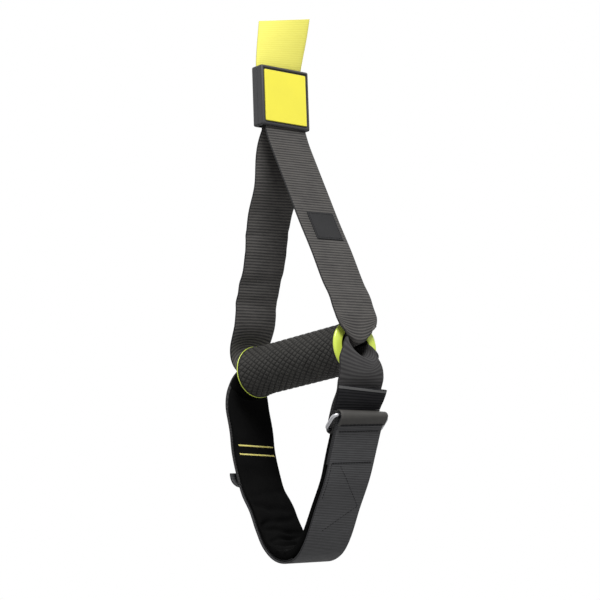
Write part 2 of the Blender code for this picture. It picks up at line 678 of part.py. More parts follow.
def pad_path():
    """Stations of the pad's middle, outside of which lie the layers behind it."""
    inner = PAD_THICKNESS / 2 + GAP
    depths = ((0, LAYER), (STRAP_START, LAYER),
              (STRAP_START + BLEND, STRAP_THICKNESS + GAP + TAPE_THICKNESS),
              (outline_length - FOLD_LENGTH - BLEND, STRAP_THICKNESS + GAP + TAPE_THICKNESS),
              (outline_length - FOLD_LENGTH, inner_ply + strap_half),
              (outline_length, inner_ply + strap_half))
    path = cut(outline, PAD_START, outline_length - PAD_STOP)
    moved = []
    travelled = PAD_START
    for i, station in enumerate(path):
        if i:
            travelled += math.dist(station[:2], path[i - 1][:2])
        for (a, low), (b, high) in zip(depths, depths[1:]):
            if a <= travelled <= b:
                depth = low + (high - low) * (travelled - a) / (b - a)
        way = heading(path, i)
        moved.append((station[0] - way.y * (depth + inner), station[1] + way.x * (depth + inner),
                      station[2], station[3]))
    return moved


pad_stations = pad_path()
ribbon("cradle_pad", pad_stations, PAD_THICKNESS, black_fleece, cradle_swing, faces=PAD_FACES)

# Hook tape between the strap and the pad, where the loop's size is set
tape_depth = STRAP_THICKNESS + GAP + TAPE_THICKNESS / 2
ribbon("strap_hook_tape",
       shifted(cut(outline, STRAP_START + BLEND, STRAP_START + BLEND + TAPE_COVER), tape_depth),
       TAPE_THICKNESS, hook_tape, cradle_swing, TAPE_WIDTH, faces=2)

# Two yellow rows of thread that sew the pad to the hanger
ROW_PITCH = 0.0068
ROW_PLACE = 0.038                 # from the pad's upper end to the upper row
ROW_LENGTH = 0.034
TACK_LENGTH = 0.032
TACK_SLANT = 0.0018               # how far down a tack's far end lies
ROW_STITCHES = 16
ROW_WAVE = 0.0005


def thread_row(name, path, place, outward, finish, length=ROW_LENGTH, wave=ROW_WAVE, slant=0):
    """A row across a ribbon, its thread wandering a little up and down."""
    here = cut(path, place, place + wave)
    x, z, yaw, _ = here[0]
    way = heading(here, 0)
    x -= way.y * outward
    z += way.x * outward
    points = []
    for stitch in range(ROW_STITCHES + 1):
        side = length * (stitch / ROW_STITCHES - 1 / 2)
        shift = wave * (stitch % 2) + slant * stitch / ROW_STITCHES
        points.append((x + side * math.sin(yaw) + way.x * shift, side * math.cos(yaw),
                       z + way.y * shift))
    return wire(name, points, THREAD_RADIUS, finish, cradle_swing)


row_depth = PAD_THICKNESS / 2 + GAP + THREAD_RADIUS
for name, place in (("bar_tack_upper", ROW_PLACE), ("bar_tack_lower", ROW_PLACE + ROW_PITCH)):
    thread_row(name, pad_stations, place, row_depth, yellow_thread, TACK_LENGTH, slant=TACK_SLANT)

# Two dark seams across the strap, under the ring and at the end of its inner ply
SEAM_PLACE = 0.003
seam_out = -(GAP + THREAD_RADIUS)
thread_row("strap_seam_upper", outline, outline_length - SEAM_PLACE, seam_out, black_thread,
           wave=THREAD_RADIUS)
thread_row("strap_seam_lower", outline, outline_length - FOLD_LENGTH, seam_out, black_thread,
           wave=THREAD_RADIUS)

# Tail: the strap's free end, peeled off the loop and curled up
TAIL_RISE = 0.0150
TAIL_STANDOFF = 0.0085
tail_shares = ((0.00, 0.00), (0.06, 0.00), (0.13, 0.10), (0.24, 0.42), (0.42, 0.75),
               (0.65, 0.94), (0.89, 0.92), (1.00, 0.82))
tail_base = cut(outline, STRAP_START - GAP, STRAP_START)[0]
tail_way = -heading(cut(outline, STRAP_START - GAP, STRAP_START + GAP), 0)
tail_out = Vector((-tail_way.y, tail_way.x))
tail_peel = empty("tail_peel", (tail_base[0], 0, tail_base[1]), cradle_swing)


def tail_path():
    """Stations from the hinge on the strap's outer face, up and away from the loop."""
    path = [tuple(tail_way * (GAP + up * TAIL_RISE)
                  + tail_out * (out * TAIL_STANDOFF - strap_half))
            + (tail_base[2], 0) for up, out in tail_shares]
    return smooth(path, LEG_STEPS)


ribbon("strap_tail", tail_path(), STRAP_THICKNESS, strap_webbing, tail_peel, faces=2)
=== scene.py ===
"""Suspension trainer handle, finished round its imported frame.

Metres, +Z up. The origin is the cut upper end of the main strap; +X runs along the grip.
"""
import json
import math

import bmesh
import bpy
from mathutils import Matrix, Vector, noise


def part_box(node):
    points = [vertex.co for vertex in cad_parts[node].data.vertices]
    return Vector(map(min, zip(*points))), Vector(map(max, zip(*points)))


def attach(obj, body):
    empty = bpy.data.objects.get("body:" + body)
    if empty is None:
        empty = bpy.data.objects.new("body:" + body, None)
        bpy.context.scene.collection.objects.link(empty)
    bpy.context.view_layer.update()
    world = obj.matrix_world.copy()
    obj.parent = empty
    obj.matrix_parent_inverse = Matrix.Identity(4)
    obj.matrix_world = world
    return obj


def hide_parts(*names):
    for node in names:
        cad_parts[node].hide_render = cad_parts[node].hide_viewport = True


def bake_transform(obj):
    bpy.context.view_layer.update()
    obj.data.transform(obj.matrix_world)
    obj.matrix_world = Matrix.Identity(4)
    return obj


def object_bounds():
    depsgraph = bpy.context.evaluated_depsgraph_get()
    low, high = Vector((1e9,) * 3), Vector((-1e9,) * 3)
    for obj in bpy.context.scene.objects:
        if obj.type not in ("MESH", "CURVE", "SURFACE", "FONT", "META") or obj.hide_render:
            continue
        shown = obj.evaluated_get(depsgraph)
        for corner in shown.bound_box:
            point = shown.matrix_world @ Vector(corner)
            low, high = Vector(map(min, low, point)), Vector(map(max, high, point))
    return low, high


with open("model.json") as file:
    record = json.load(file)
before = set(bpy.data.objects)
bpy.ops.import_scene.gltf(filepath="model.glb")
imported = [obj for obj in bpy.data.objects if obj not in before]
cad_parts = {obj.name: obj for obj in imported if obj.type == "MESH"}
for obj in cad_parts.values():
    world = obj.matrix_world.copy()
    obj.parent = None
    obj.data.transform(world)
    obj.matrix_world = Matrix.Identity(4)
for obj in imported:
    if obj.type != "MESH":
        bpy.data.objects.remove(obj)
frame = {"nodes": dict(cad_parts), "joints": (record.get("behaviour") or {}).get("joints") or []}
cad_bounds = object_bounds()
nodes = frame["nodes"]
joints = {joint["name"]: joint for joint in frame["joints"]}

# The camera stands below the handle, in front of the grip's near end, and looks up at it
# along a long lens. It is aimed from the grip's centre, which the frame gives.
GRIP = Vector(joints["grip_spin"]["pos_m"])
CAMERA_AZIMUTH = math.radians(49.85)
CAMERA_ELEVATION = math.radians(-9.85)
CAMERA_ROLL = math.radians(-5.24)
CAMERA_DISTANCE = 1.5096
CAMERA_ASIDE = -0.0034
CAMERA_ABOVE = 0.0429
CAMERA_LENS = 126

toward = Vector((math.sin(CAMERA_AZIMUTH) * math.cos(CAMERA_ELEVATION),
                 -math.cos(CAMERA_AZIMUTH) * math.cos(CAMERA_ELEVATION),
                 math.sin(CAMERA_ELEVATION)))
level = (-toward).cross(Vector((0, 0, 1))).normalized()
upright = level.cross(-toward)
view_right = math.cos(CAMERA_ROLL) * level + math.sin(CAMERA_ROLL) * upright
view_up = math.cos(CAMERA_ROLL) * upright - math.sin(CAMERA_ROLL) * level
camera = bpy.data.objects.new("camera", bpy.data.cameras.new("camera"))
camera.data.lens = CAMERA_LENS
camera.matrix_world = Matrix((view_right, view_up, toward)).transposed().to_4x4()
camera.location = (GRIP + view_right * CAMERA_ASIDE + view_up * CAMERA_ABOVE
                   + toward * CAMERA_DISTANCE)
bpy.context.scene.collection.objects.link(camera)
bpy.context.scene.camera = camera

# A plain studio: a pale floor well below the loop, three soft lamps, the strongest above the
# near end, and a surround that is white to the camera and in reflections, and dim as a light.
SURROUND_LEVEL = 0.17
FLOOR_DROP = 0.45
FLOOR_RADIUS = 40
FLOOR_GREY = (0.7, 0.7, 0.7)
LAMPS = (                          # (name, place from the grip, size, watts)
    ("key_lamp", (1.3, -0.65, 1.5), 0.8, 48.0),
    ("side_lamp", (-1.3, -1.5, 0.5), 1.2, 1.0),
    ("back_lamp", (-0.9, 1.4, 0.9), 1.2, 9.0))


def node(finish, kind, inputs=None, **settings):
    """A shader node whose inputs are values or other nodes' outputs; its first output."""
    made = finish.node_tree.nodes.new("ShaderNode" + kind)
    for key, value in settings.items():
        setattr(made, key, value)
    for socket, value in (inputs or {}).items():
        if isinstance(value, bpy.types.NodeSocket):
            finish.node_tree.links.new(value, made.inputs[socket])
        else:
            made.inputs[socket].default_value = value
    return made.outputs[0]


def material(name, color, roughness=0.5, metallic=0.0, sheen=0.0, specular=0.5):
    """A material with its shader's plain values set."""
    finish = bpy.data.materials.new(name)
    finish.use_nodes = True
    shader = finish.node_tree.nodes["Principled BSDF"]
    shader.inputs["Base Color"].default_value = (*color, 1)
    shader.inputs["Roughness"].default_value = roughness
    shader.inputs["Metallic"].default_value = metallic
    shader.inputs["Sheen Weight"].default_value = sheen
    shader.inputs["Specular IOR Level"].default_value = specular
    return finish


def made_piece(name, shape, finish, sharp=None):
    """A piece of a shape, smooth but for edges that turn by more than so many degrees."""
    mesh = bpy.data.meshes.new(name)
    shape.to_mesh(mesh)
    shape.free()
    mesh.shade_smooth()
    if sharp:
        mesh.set_sharp_from_angle(angle=math.radians(sharp))
    mesh.materials.append(finish)
    piece = bpy.data.objects.new(name, mesh)
    bpy.context.scene.collection.objects.link(piece)
    return piece


bpy.context.scene.view_settings.view_transform = "Standard"
surround = bpy.data.worlds.new("surround")
bpy.context.scene.world = surround
surround.use_nodes = True
rays = node(surround, "LightPath").node.outputs
seen = rays["Is Camera Ray"]
for ray in ("Is Transmission Ray", "Is Glossy Ray"):
    seen = node(surround, "Math", {0: seen, 1: rays[ray]}, operation="MAXIMUM")
strength = node(surround, "MapRange", {"Value": seen, "To Min": SURROUND_LEVEL})
background = surround.node_tree.nodes["Background"]
background.inputs["Color"].default_value = (1, 1, 1, 1)
surround.node_tree.links.new(strength, background.inputs["Strength"])

for name, place, size, power in LAMPS:
    lamp = bpy.data.lights.new(name, "AREA")
    lamp.size = size
    lamp.energy = power
    stand = bpy.data.objects.new(name, lamp)
    stand.location = GRIP + Vector(place)
    stand.rotation_euler = (-Vector(place)).to_track_quat("-Z", "Y").to_euler()
    bpy.context.scene.collection.objects.link(stand)

floor_shape = bmesh.new()
bmesh.ops.create_circle(floor_shape, cap_ends=True, segments=64, radius=FLOOR_RADIUS)
bmesh.ops.translate(floor_shape, verts=floor_shape.verts,
                    vec=(0, 0, cad_bounds[0][2] - FLOOR_DROP))
floor = made_piece("floor", floor_shape, material("pale_floor", FLOOR_GREY))

# Main strap: flat lemon webbing of 38 mm, cut at the top. It leans towards the near side and
# twists as it climbs, and its lower end goes on into the badge, where it is sewn to the yoke.
WEBBING_WIDTH = 0.038
STRAP_THICKNESS = 0.0014
STRAP_LENGTH = 0.0348
STRAP_LEAN = 0.012
STRAP_TWIST = math.radians(-30)
STRAP_TUCK = 0.030                 # of it inside the badge
MOUTH_TWIST_SHARE = 0.27           # of its twist, done by the badge's mouth
LEAN_EASE = 0.08                   # how much of its lean starts and ends softly
STRAP_ROWS = 24                    # steps of its path
LEMON_RIB = 0.0016                 # from one of its ribs to the next
LEMON_RIB_HEIGHT = 0.00008
LEMON_WARP = 0.0009                # from one warp thread to the next
LEMON_NAP = 0.00006                # depth of its finest relief
LEMON = (0.96, 0.91, 0.20)
# painted shade in the grooves between the lemon webbing's ribs
LEMON_GROOVE_SHADE = (0.88, 0.82, 0.15)
FACES = 14                         # across each face of a band
EDGE_FACES = 3                     # round each of its edges
BAND_SHARP = 60                    # degrees, past which an edge of a band stays sharp
FLAT_CURL = 0.2                    # per metre, below which a band counts as flat
FINE_STEP = 0.0004                 # between a ribbed band's rows
RIB_FADE = 0.0035                  # beside each edge, over which ribs run out
NUDGE = 0.0002                     # by which directions are felt out and places matched
FABRIC_GLOSS = 0.12                # specular level of woven pieces
PAINTED_EDGE_WIDTH = 0.0007                  # along each edge of 38 mm webbing, darkened with painted shade
PAINTED_EDGE_SHADE = 0.7               # how far that painted shade goes towards the groove shade colour
STREAKS = 0.5                      # how strongly single ribs are streaked
STREAK_SCALE = 110.0               # per metre, of the streaks along a rib
CLOUD_SCALE = 60.0                 # per metre, of a webbing's slow change of tone
FIBRE_SCALE = 2600.0               # per metre, of its fibres
GROOVE_SHADE_TONE = 0.75                    # painted shade in the grooves between ribs, and what warp threads and fibres add to the tone
WARP_TONE = 0.16
FIBRE_TONE = 0.18


def smooth(points, steps):
    """A smooth curve through the points, whose tangents allow for uneven spans."""
    path = []
    for i in range(len(points) - 1):
        a = points[max(i - 1, 0)]
        b = points[i]
        c = points[i + 1]
        d = points[min(i + 2, len(points) - 1)]
        span = math.dist(b[:3], c[:3])
        before = span / (math.dist(a[:3], b[:3]) + span)
        after = span / (span + math.dist(c[:3], d[:3]))
        for step in range(steps):
            t = step / steps
            path.append(tuple(
                q + (r - p) * before * t * (1 - t) ** 2 + (r - q) * t * t * (3 - 2 * t)
                - (s - q) * after * t * t * (1 - t)
                for p, q, r, s in zip(a, b, c, d)))
    path.append(tuple(points[-1]))
    return path


def between(a, b, share):
    """The place or station a share of the way from a to b."""
    return tuple(p + (q - p) * share for p, q in zip(a, b))


def spaced(path, step):
    """The same path with stations a step apart, and its length."""
    marks = [0]
    for a, b in zip(path, path[1:]):
        marks.append(marks[-1] + math.dist(a[:3], b[:3]))
    count = max(2, round(marks[-1] / step))
    stations = []
    k = 0
    for j in range(count + 1):
        mark = marks[-1] * j / count
        while k < len(marks) - 2 and marks[k + 1] < mark:
            k += 1
        share = (mark - marks[k]) / (marks[k + 1] - marks[k])
        stations.append(between(path[k], path[k + 1], share))
    return stations, marks[-1]


def across(station, side):
    """The point of a band's middle layer at a distance to one side of a station.

    A station may end in where the band's fold lies and how much of its curl the part to the
    left of that keeps.
    """
    x, y, z, yaw, curl, roll, *uneven = station
    fold, kept = uneven or (0, 1)
    side -= fold
    curl *= kept if side < 0 else 1
    lateral, lift = side, 0
    if abs(curl) > FLAT_CURL:
        lateral = math.sin(side * curl) / curl
        lift = (1 - math.cos(side * curl)) / curl
    out = lateral * math.cos(roll) - lift * math.sin(roll)
    rise = lateral * math.sin(roll) + lift * math.cos(roll)
    return Vector((x + out * math.sin(yaw), y + out * math.cos(yaw), z + rise))


def section(width, thickness, faces):
    """Points (aside, out) round a band's section, which has rounded edges."""
    flat = width / 2 - thickness / 2
    points = []
    for face in (1, -1):
        points += [(face * flat * (2 * i / faces - 1), face * thickness / 2)
                   for i in range(faces)]
        for i in range(EDGE_FACES):
            angle = math.pi * i / EDGE_FACES
            points.append((face * (flat + thickness / 2 * math.sin(angle)),
                           face * thickness / 2 * math.cos(angle)))
    return points + points[:1]


def lay_band(name, stations, length, thickness, finish, width=WEBBING_WIDTH, middle=0,
             relief=None, faces=FACES):
    """Webbing along its stations: a grid wrapped round its section, its UV map in metres.

    relief(along, aside, face) is how far a face moves to the left of the direction of travel.
    """
    outline = section(width, thickness, faces)
    rows = len(stations) - 1
    shape = bmesh.new()
    uv = shape.loops.layers.uv.new("UVMap")
    bmesh.ops.create_grid(shape, x_segments=len(outline) - 1, y_segments=rows, size=1)
    spots = {}
    for corner in shape.verts:
        i = round((corner.co.x + 1) / 2 * (len(outline) - 1))
        j = round((corner.co.y + 1) / 2 * rows)
        spots[corner] = (outline[i][0], outline[i][1], j)
    for corner, (aside, out, j) in spots.items():
        side = middle + aside
        along = stations[min(j + 1, rows)], stations[max(j - 1, 0)]
        way = across(along[0], side) - across(along[1], side)
        breadth = across(stations[j], side + NUDGE) - across(stations[j], side - NUDGE)
        normal = way.cross(breadth).normalized()
        if relief:
            out += relief(length * j / rows, aside, 1 if out > 0 else -1)
        corner.co = GRIP + across(stations[j], side) + normal * out
    for face in shape.faces:
        for loop in face.loops:
            aside, _, j = spots[loop.vert]
            loop[uv].uv = (aside + width / 2, length * j / rows)
    bmesh.ops.remove_doubles(shape, verts=shape.verts, dist=NUDGE / 100)
    rims = [edge for edge in shape.edges if edge.is_boundary]
    bmesh.ops.holes_fill(shape, edges=rims, sides=0)
    bmesh.ops.recalc_face_normals(shape, faces=shape.faces)
    return made_piece(name, shape, finish, BAND_SHARP)


def ribs(pitch, height, width=WEBBING_WIDTH):
    """Relief of a weave whose weft stands up in ribs across the band."""
    def relief(along, aside, face):
        fade = min(1, (width / 2 - abs(aside)) / RIB_FADE)
        return face * height * fade * (abs(math.cos(math.pi * along / pitch)) ** 0.5 - 1)
    return relief


def into_shader(finish, socket, value):
    """A node's output as one of a material's values."""
    finish.node_tree.links.new(value, finish.node_tree.nodes["Principled BSDF"].inputs[socket])


def tinted(finish, share, low, high):
    """Base colour that turns from low into high as a share goes from 0 to 1."""
    color = node(finish, "ValToRGB", {"Fac": share})
    for stop, tint in zip(color.node.color_ramp.elements, (low, high)):
        stop.color = (*tint, 1)
    into_shader(finish, "Base Color", color)


def bumped(finish, height, strength, depth):
    """Fine relief in a material, its depth in metres."""
    into_shader(finish, "Normal", node(finish, "Bump", {"Height": height, "Strength": strength,
                                                        "Distance": depth}))


def object_place(finish):
    """Where on the object a point lies, in metres."""
    return node(finish, "TexCoord").node.outputs["Object"]


def grained(finish, scale, detail=2.0):
    """Noise that stays with the object, its scale per metre."""
    return node(finish, "TexNoise", {"Vector": object_place(finish), "Scale": scale,
                                     "Detail": detail})


def added(finish, value, share, base):
    """A share of a value, on top of a base."""
    return node(finish, "Math", {0: value, 1: share, 2: base}, operation="MULTIPLY_ADD")


def on_cloth(finish, axis):
    """How far across (0) or along (1) a band's UV map, which is in metres, a point lies."""
    spot = node(finish, "SeparateXYZ", {0: node(finish, "UVMap", uv_map="UVMap")})
    return spot.node.outputs[axis]


def waves(finish, axis, pitch):
    """A wave from 0 to 1 across or along a band."""
    turns = node(finish, "Math", {0: on_cloth(finish, axis), 1: 2 * math.pi / pitch},
                 operation="MULTIPLY")
    return added(finish, node(finish, "Math", {0: turns}, operation="COSINE"), share=0.5,
                 base=0.5)


def woven(name, groove_shade_color, rib_color, rib_pitch, warp_pitch, nap, roughness=0.72, sheen=0.0,
          patches=0.35):
    """Webbing: ribs across with painted shade in the grooves between them, warp threads along,
    streaked ribs, a cloudy tone, and painted shade along both edges.
    """
    finish = material(name, rib_color, roughness, sheen=sheen, specular=FABRIC_GLOSS)
    warp = waves(finish, 0, warp_pitch)
    fibre = grained(finish, FIBRE_SCALE)
    row = node(finish, "VectorMath", {0: node(finish, "UVMap", uv_map="UVMap"),
                                      1: (STREAK_SCALE, 1 / rib_pitch, 1)}, operation="MULTIPLY")
    streak = node(finish, "TexNoise", {"Vector": row, "Scale": 1.0})
    tone = added(finish, grained(finish, CLOUD_SCALE, detail=4.0), patches,
                 -(patches + STREAKS) / 2)
    # The ribs' wave darkens the tone in the grooves between them: painted shade.
    for value, share in ((waves(finish, 1, rib_pitch), GROOVE_SHADE_TONE), (warp, WARP_TONE),
                         (fibre, FIBRE_TONE), (streak, STREAKS)):
        tone = added(finish, value, share, tone)
    # Painted shade along both edges: the tone falls towards the groove shade colour near each
    # edge.
    off = node(finish, "Math", {0: on_cloth(finish, 0), 1: WEBBING_WIDTH / 2},
               operation="SUBTRACT")
    rim = node(finish, "MapRange", {"Value": node(finish, "Math", {0: off}, operation="ABSOLUTE"),
                                    "From Min": WEBBING_WIDTH / 2 - PAINTED_EDGE_WIDTH,
                                    "From Max": WEBBING_WIDTH / 2 - PAINTED_EDGE_WIDTH / 2,
                                    "To Max": PAINTED_EDGE_SHADE})
    tone = node(finish, "Math", {0: tone, 1: rim}, operation="SUBTRACT")
    tinted(finish, tone, groove_shade_color, rib_color)
    bumped(finish, added(finish, warp, share=0.6, base=fibre), strength=0.6, depth=nap)
    return finish


lemon_webbing = woven("lemon_webbing", LEMON_GROOVE_SHADE, LEMON, LEMON_RIB, LEMON_WARP, LEMON_NAP,
                      roughness=0.75, patches=0.2)
lemon_path = []
for step in range(STRAP_ROWS + 1):
    z = -STRAP_TUCK + (STRAP_LENGTH + STRAP_TUCK) * step / STRAP_ROWS
    rise = max(0, z / STRAP_LENGTH)
    turn = MOUTH_TWIST_SHARE * (1 + min(0, z) / STRAP_TUCK) + (1 - MOUTH_TWIST_SHARE) * rise
    lean = rise - LEAN_EASE * math.sin(2 * math.pi * rise) / (2 * math.pi)
    lemon_path.append((STRAP_LEAN * lean, 0, z - STRAP_LENGTH - GRIP.z, -STRAP_TWIST * turn, 0, 0))
lemon_stations, lemon_length = spaced(lemon_path, FINE_STEP)
main_strap = lay_band("main_strap_webbing", lemon_stations, lemon_length, STRAP_THICKNESS,
                      lemon_webbing, relief=ribs(LEMON_RIB, LEMON_RIB_HEIGHT))
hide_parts("main_strap", "strap_sewn_end")
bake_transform(main_strap)

# Badge: two half shells of black plastic, snapped together round the sewn joint. Each is a
# channel open above and below for the webbing, and the front one has a recess for its plate.
BADGE_WALL = 0.0026
SHELL_FLOOR = 0.0021
PLATE_SIZE = 0.0383
PLATE_THICKNESS = 0.0009
PLATE_GAP = 0.0003
OUTER_ROUND = 0.0015
SMALL_ROUND = 0.0004
FLAT_AREA = 0.00003                # of a moulded face that is shaded flat
MOULDING_SHARP = 35                # degrees, past which an edge of it stays sharp
CORNER_TURN = 1.0                  # radians, past which an edge of its raw shape is rounded
PLASTIC_CLOUD = 45.0               # per metre, of a plastic's slow change of tone
SHELL_GREY = (0.044, 0.044, 0.047)
BADGE_TURN = (Matrix.Rotation(math.radians(2.4), 3, "Y")      # it hangs a little askew
              @ Matrix.Rotation(math.radians(-2.2), 3, "X"))
badge_low, badge_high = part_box("badge_front_shell")
badge_middle = (badge_low + badge_high) / 2


def rounded(shape, edges, radius, segments):
    """Some edges of a shape, rounded off."""
    bmesh.ops.bevel(shape, geom=edges, offset=radius, segments=segments, affect="EDGES",
                    profile=0.5, material=-1)


def new_corners(grown):
    """The corners that an extrusion made."""
    return [item for item in grown["geom"] if isinstance(item, bmesh.types.BMVert)]


def badge_piece(name, shape, finish):
    """A moulding of the badge, hung askew with it, its large faces flat."""
    bmesh.ops.rotate(shape, verts=shape.verts, cent=badge_middle, matrix=BADGE_TURN)
    piece = made_piece(name, shape, finish, MOULDING_SHARP)
    for face in piece.data.polygons:
        face.use_smooth = face.area < FLAT_AREA
    return piece


def shell(name, side, finish):
    """A channel section, run up the badge and rounded; side is +1 in front and -1 behind."""
    low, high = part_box(name)
    part_x = low.x if side > 0 else high.x
    face_x = high.x if side > 0 else low.x
    inner_x = face_x - side * SHELL_FLOOR

    def on_rim(corner):
        """Whether a corner lies on the outline of the shell's own face."""
        x, y, z = corner.co
        return abs(x - face_x) < NUDGE and (
            abs(abs(y) - high.y) < NUDGE or abs(z - low.z) < NUDGE or abs(z - high.z) < NUDGE)

    profile = ((part_x, low.y), (face_x, low.y), (face_x, high.y), (part_x, high.y),
               (part_x, high.y - BADGE_WALL), (inner_x, high.y - BADGE_WALL),
               (inner_x, low.y + BADGE_WALL), (part_x, low.y + BADGE_WALL))
    shape = bmesh.new()
    base = shape.faces.new([shape.verts.new((x, y, low.z)) for x, y in profile])
    grown = bmesh.ops.extrude_face_region(shape, geom=[base])
    bmesh.ops.translate(shape, verts=new_corners(grown), vec=(0, 0, high.z - low.z))
    bmesh.ops.recalc_face_normals(shape, faces=shape.faces)
    if side > 0:
        front = max(shape.faces, key=lambda face: face.calc_center_median().x)
        margin = (high.y - low.y - PLATE_SIZE) / 2 - PLATE_GAP
        bmesh.ops.inset_region(shape, faces=[front], thickness=margin, depth=0)
        pocket = bmesh.ops.extrude_discrete_faces(shape, faces=[front])["faces"]
        bmesh.ops.translate(shape, verts=pocket[0].verts,
                            vec=(-PLATE_THICKNESS - PLATE_GAP, 0, 0))
        bmesh.ops.remove_doubles(shape, verts=shape.verts, dist=NUDGE / 100)
    outer = [edge for edge in shape.edges if len(edge.link_faces) == 2 and edge.is_convex
             and edge.calc_face_angle() > CORNER_TURN
             and all(on_rim(corner) for corner in edge.verts)]
    corners = [edge for edge in shape.edges if edge.is_convex
               and abs(edge.verts[0].co.y - edge.verts[1].co.y) < NUDGE
               and abs(edge.verts[0].co.z - edge.verts[1].co.z) < NUDGE
               and abs(abs(edge.verts[0].co.y) - high.y) < NUDGE]
    rounded(shape, outer + corners, OUTER_ROUND, segments=5)
    sharp = [edge for edge in shape.edges
             if len(edge.link_faces) == 2 and edge.calc_face_angle() > CORNER_TURN]
    rounded(shape, sharp, SMALL_ROUND, segments=3)
    return badge_piece(name + "_moulding", shape, finish)


def moulded(name, color, roughness, grain_scale, grain_depth, wear=0.25, specular=0.5):
    """Plastic from a mould: a fine grain and a faint change of tone and gloss."""
    finish = material(name, color, roughness, specular=specular)
    cloud = grained(finish, PLASTIC_CLOUD, detail=5.0)
    tinted(finish, cloud, [c * (1 - wear) for c in color], [min(1, c * (1 + wear)) for c in color])
    into_shader(finish, "Roughness", added(finish, cloud, share=0.2, base=roughness - 0.1))
    bumped(finish, grained(finish, grain_scale, detail=3.0), strength=0.35, depth=grain_depth)
    return finish


shell_plastic = moulded("shell_plastic", SHELL_GREY, roughness=0.42, grain_scale=3200.0,
                        grain_depth=0.00005, specular=0.3)
for name, side in (("badge_front_shell", 1), ("badge_rear_shell", -1)):
    half = shell(name, side, shell_plastic)
    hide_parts(name)
    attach(half, "yoke")

# Badge plate: a soft yellow plastic tile with small round corners, pressed into the recess of
# the front shell. Its face is left bare.
PLATE_YELLOW = (0.86, 0.78, 0.07)
PLATE_CORNER = 0.0008
plate_low, plate_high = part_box("badge_plate")
plate_shape = bmesh.new()
bmesh.ops.create_cube(plate_shape, size=1)
bmesh.ops.scale(plate_shape, verts=plate_shape.verts, vec=plate_high - plate_low)
bmesh.ops.translate(plate_shape, verts=plate_shape.verts, vec=(plate_low + plate_high) / 2)
corner_edges = [edge for edge in plate_shape.edges
                if abs(edge.verts[0].co.x - edge.verts[1].co.x) > PLATE_THICKNESS / 2]
rounded(plate_shape, corner_edges, PLATE_CORNER, segments=4)
front_rim = [edge for edge in plate_shape.edges
             if all(corner.co.x > plate_high.x - NUDGE for corner in edge.verts)]
rounded(plate_shape, front_rim, PLATE_THICKNESS / 3, segments=3)
tile_plastic = moulded("tile_plastic", PLATE_YELLOW, roughness=0.38, grain_scale=2200.0,
                       grain_depth=0.00004, wear=0.05)
plate = badge_piece("badge_tile", plate_shape, tile_plastic)
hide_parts("badge_plate")
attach(plate, "yoke")

# Yoke: one ribbed nylon webbing. Both its ends are sewn to the main strap inside the badge;
# it runs down one leg, rolled up through the grip's tube, and up the other leg. At the near
# end it comes out of the tube as a tongue whose edges fold back.
YOKE_THICKNESS = 0.0016
GAP = 0.0003
GRIP_LENGTH = 0.1136
BORE_RADIUS = 0.0124
HANDLE_RISE = 0.1712
LEG_STANDOFF = 0.0028
BULGE = 0.0055
BULGE_RISE = 0.0089
PLY_LENGTH = 0.034
ROLLED_RADIUS = 0.0062             # of the webbing rolled up in the tube
ROLLED_HEIGHT = 0.0050             # of the roll's own axis above the grip's
RIB_PITCH = 0.0022
RIB_HEIGHT = 0.00032
WARP_PITCH = 0.0011
NYLON_NAP = 0.00012
CURVE_STEPS = 6                    # between two points of a curved path
CHARCOAL = (0.110, 0.104, 0.098)
# painted shade in the grooves between the charcoal webbing's ribs
CHARCOAL_GROOVE_SHADE = (0.020, 0.020, 0.021)
END_X = GRIP_LENGTH / 2
leg_x = END_X + LEG_STANDOFF
yoke_curl = BORE_RADIUS - GAP - YOKE_THICKNESS / 2
ply_x = STRAP_THICKNESS / 2 + GAP + YOKE_THICKNESS / 2
tongue = (                         # (x from the grip's end, z, radius of the fold)
    (-0.0070, 0.0002, 0.0066), (-0.0010, 0.0012, 0.0074), (0.0018, 0.0016, 0.0082),
    (0.0033, 0.0021, 0.0100), (0.0040, 0.0031, 0.0128), (0.0043, 0.0045, 0.0168),
    (0.0043, 0.0063, 0.0215), (0.0041, 0.0108, 0.0310), (0.0036, 0.0160, 0.0600),
    (0.0030, 0.0205, 0.2000))
near_leg_shares = (                # (out from the middle, up from the grip's axis)
    (0.967, 0.160), (0.924, 0.210), (0.831, 0.275), (0.677, 0.415), (0.497, 0.561),
    (0.331, 0.707), (0.172, 0.847), (0.075, 0.935))
far_neck_shares = (                # (out, up, curl) from the bore to the far leg
    (0.00, 0.00, 1.00), (0.40, 0.04, 0.98), (0.75, 0.20, 0.92), (1.00, 0.54, 0.80),
    (1.00, 0.98, 0.60))
far_leg_shares = (                 # (out from the middle, up from the grip's axis, curl)
    (1.045, 0.143, 0.35), (0.962, 0.174, 0.15), (0.903, 0.203, 0.05), (0.857, 0.251, 0),
    (0.812, 0.312, 0), (0.725, 0.370, 0), (0.630, 0.430, 0), (0.530, 0.537, 0),
    (0.411, 0.654, 0), (0.222, 0.765, 0), (0.139, 0.882, 0), (0.098, 0.938, 0))
far_leg_yaws = (0, 0, 0, 0, 0, 0, 0, 2, 6, 11, 13, 8)      # in degrees
roll_turn_shares = (               # (along half the grip, of half a turn)
    (0.60, 0.0), (0.30, 0.15), (0.0, 0.5), (-0.30, 0.85), (-0.60, 1.0))
creases = (                        # (down the far leg from the badge, height, width, slant)
    (0.078, 0.0007, 0.0030, 0.10), (0.092, -0.0005, 0.0045, -0.05),
    (0.114, 0.0006, 0.0040, 0.12), (0.124, -0.0005, 0.0035, 0.00),
    (0.133, 0.0005, 0.0030, -0.10))


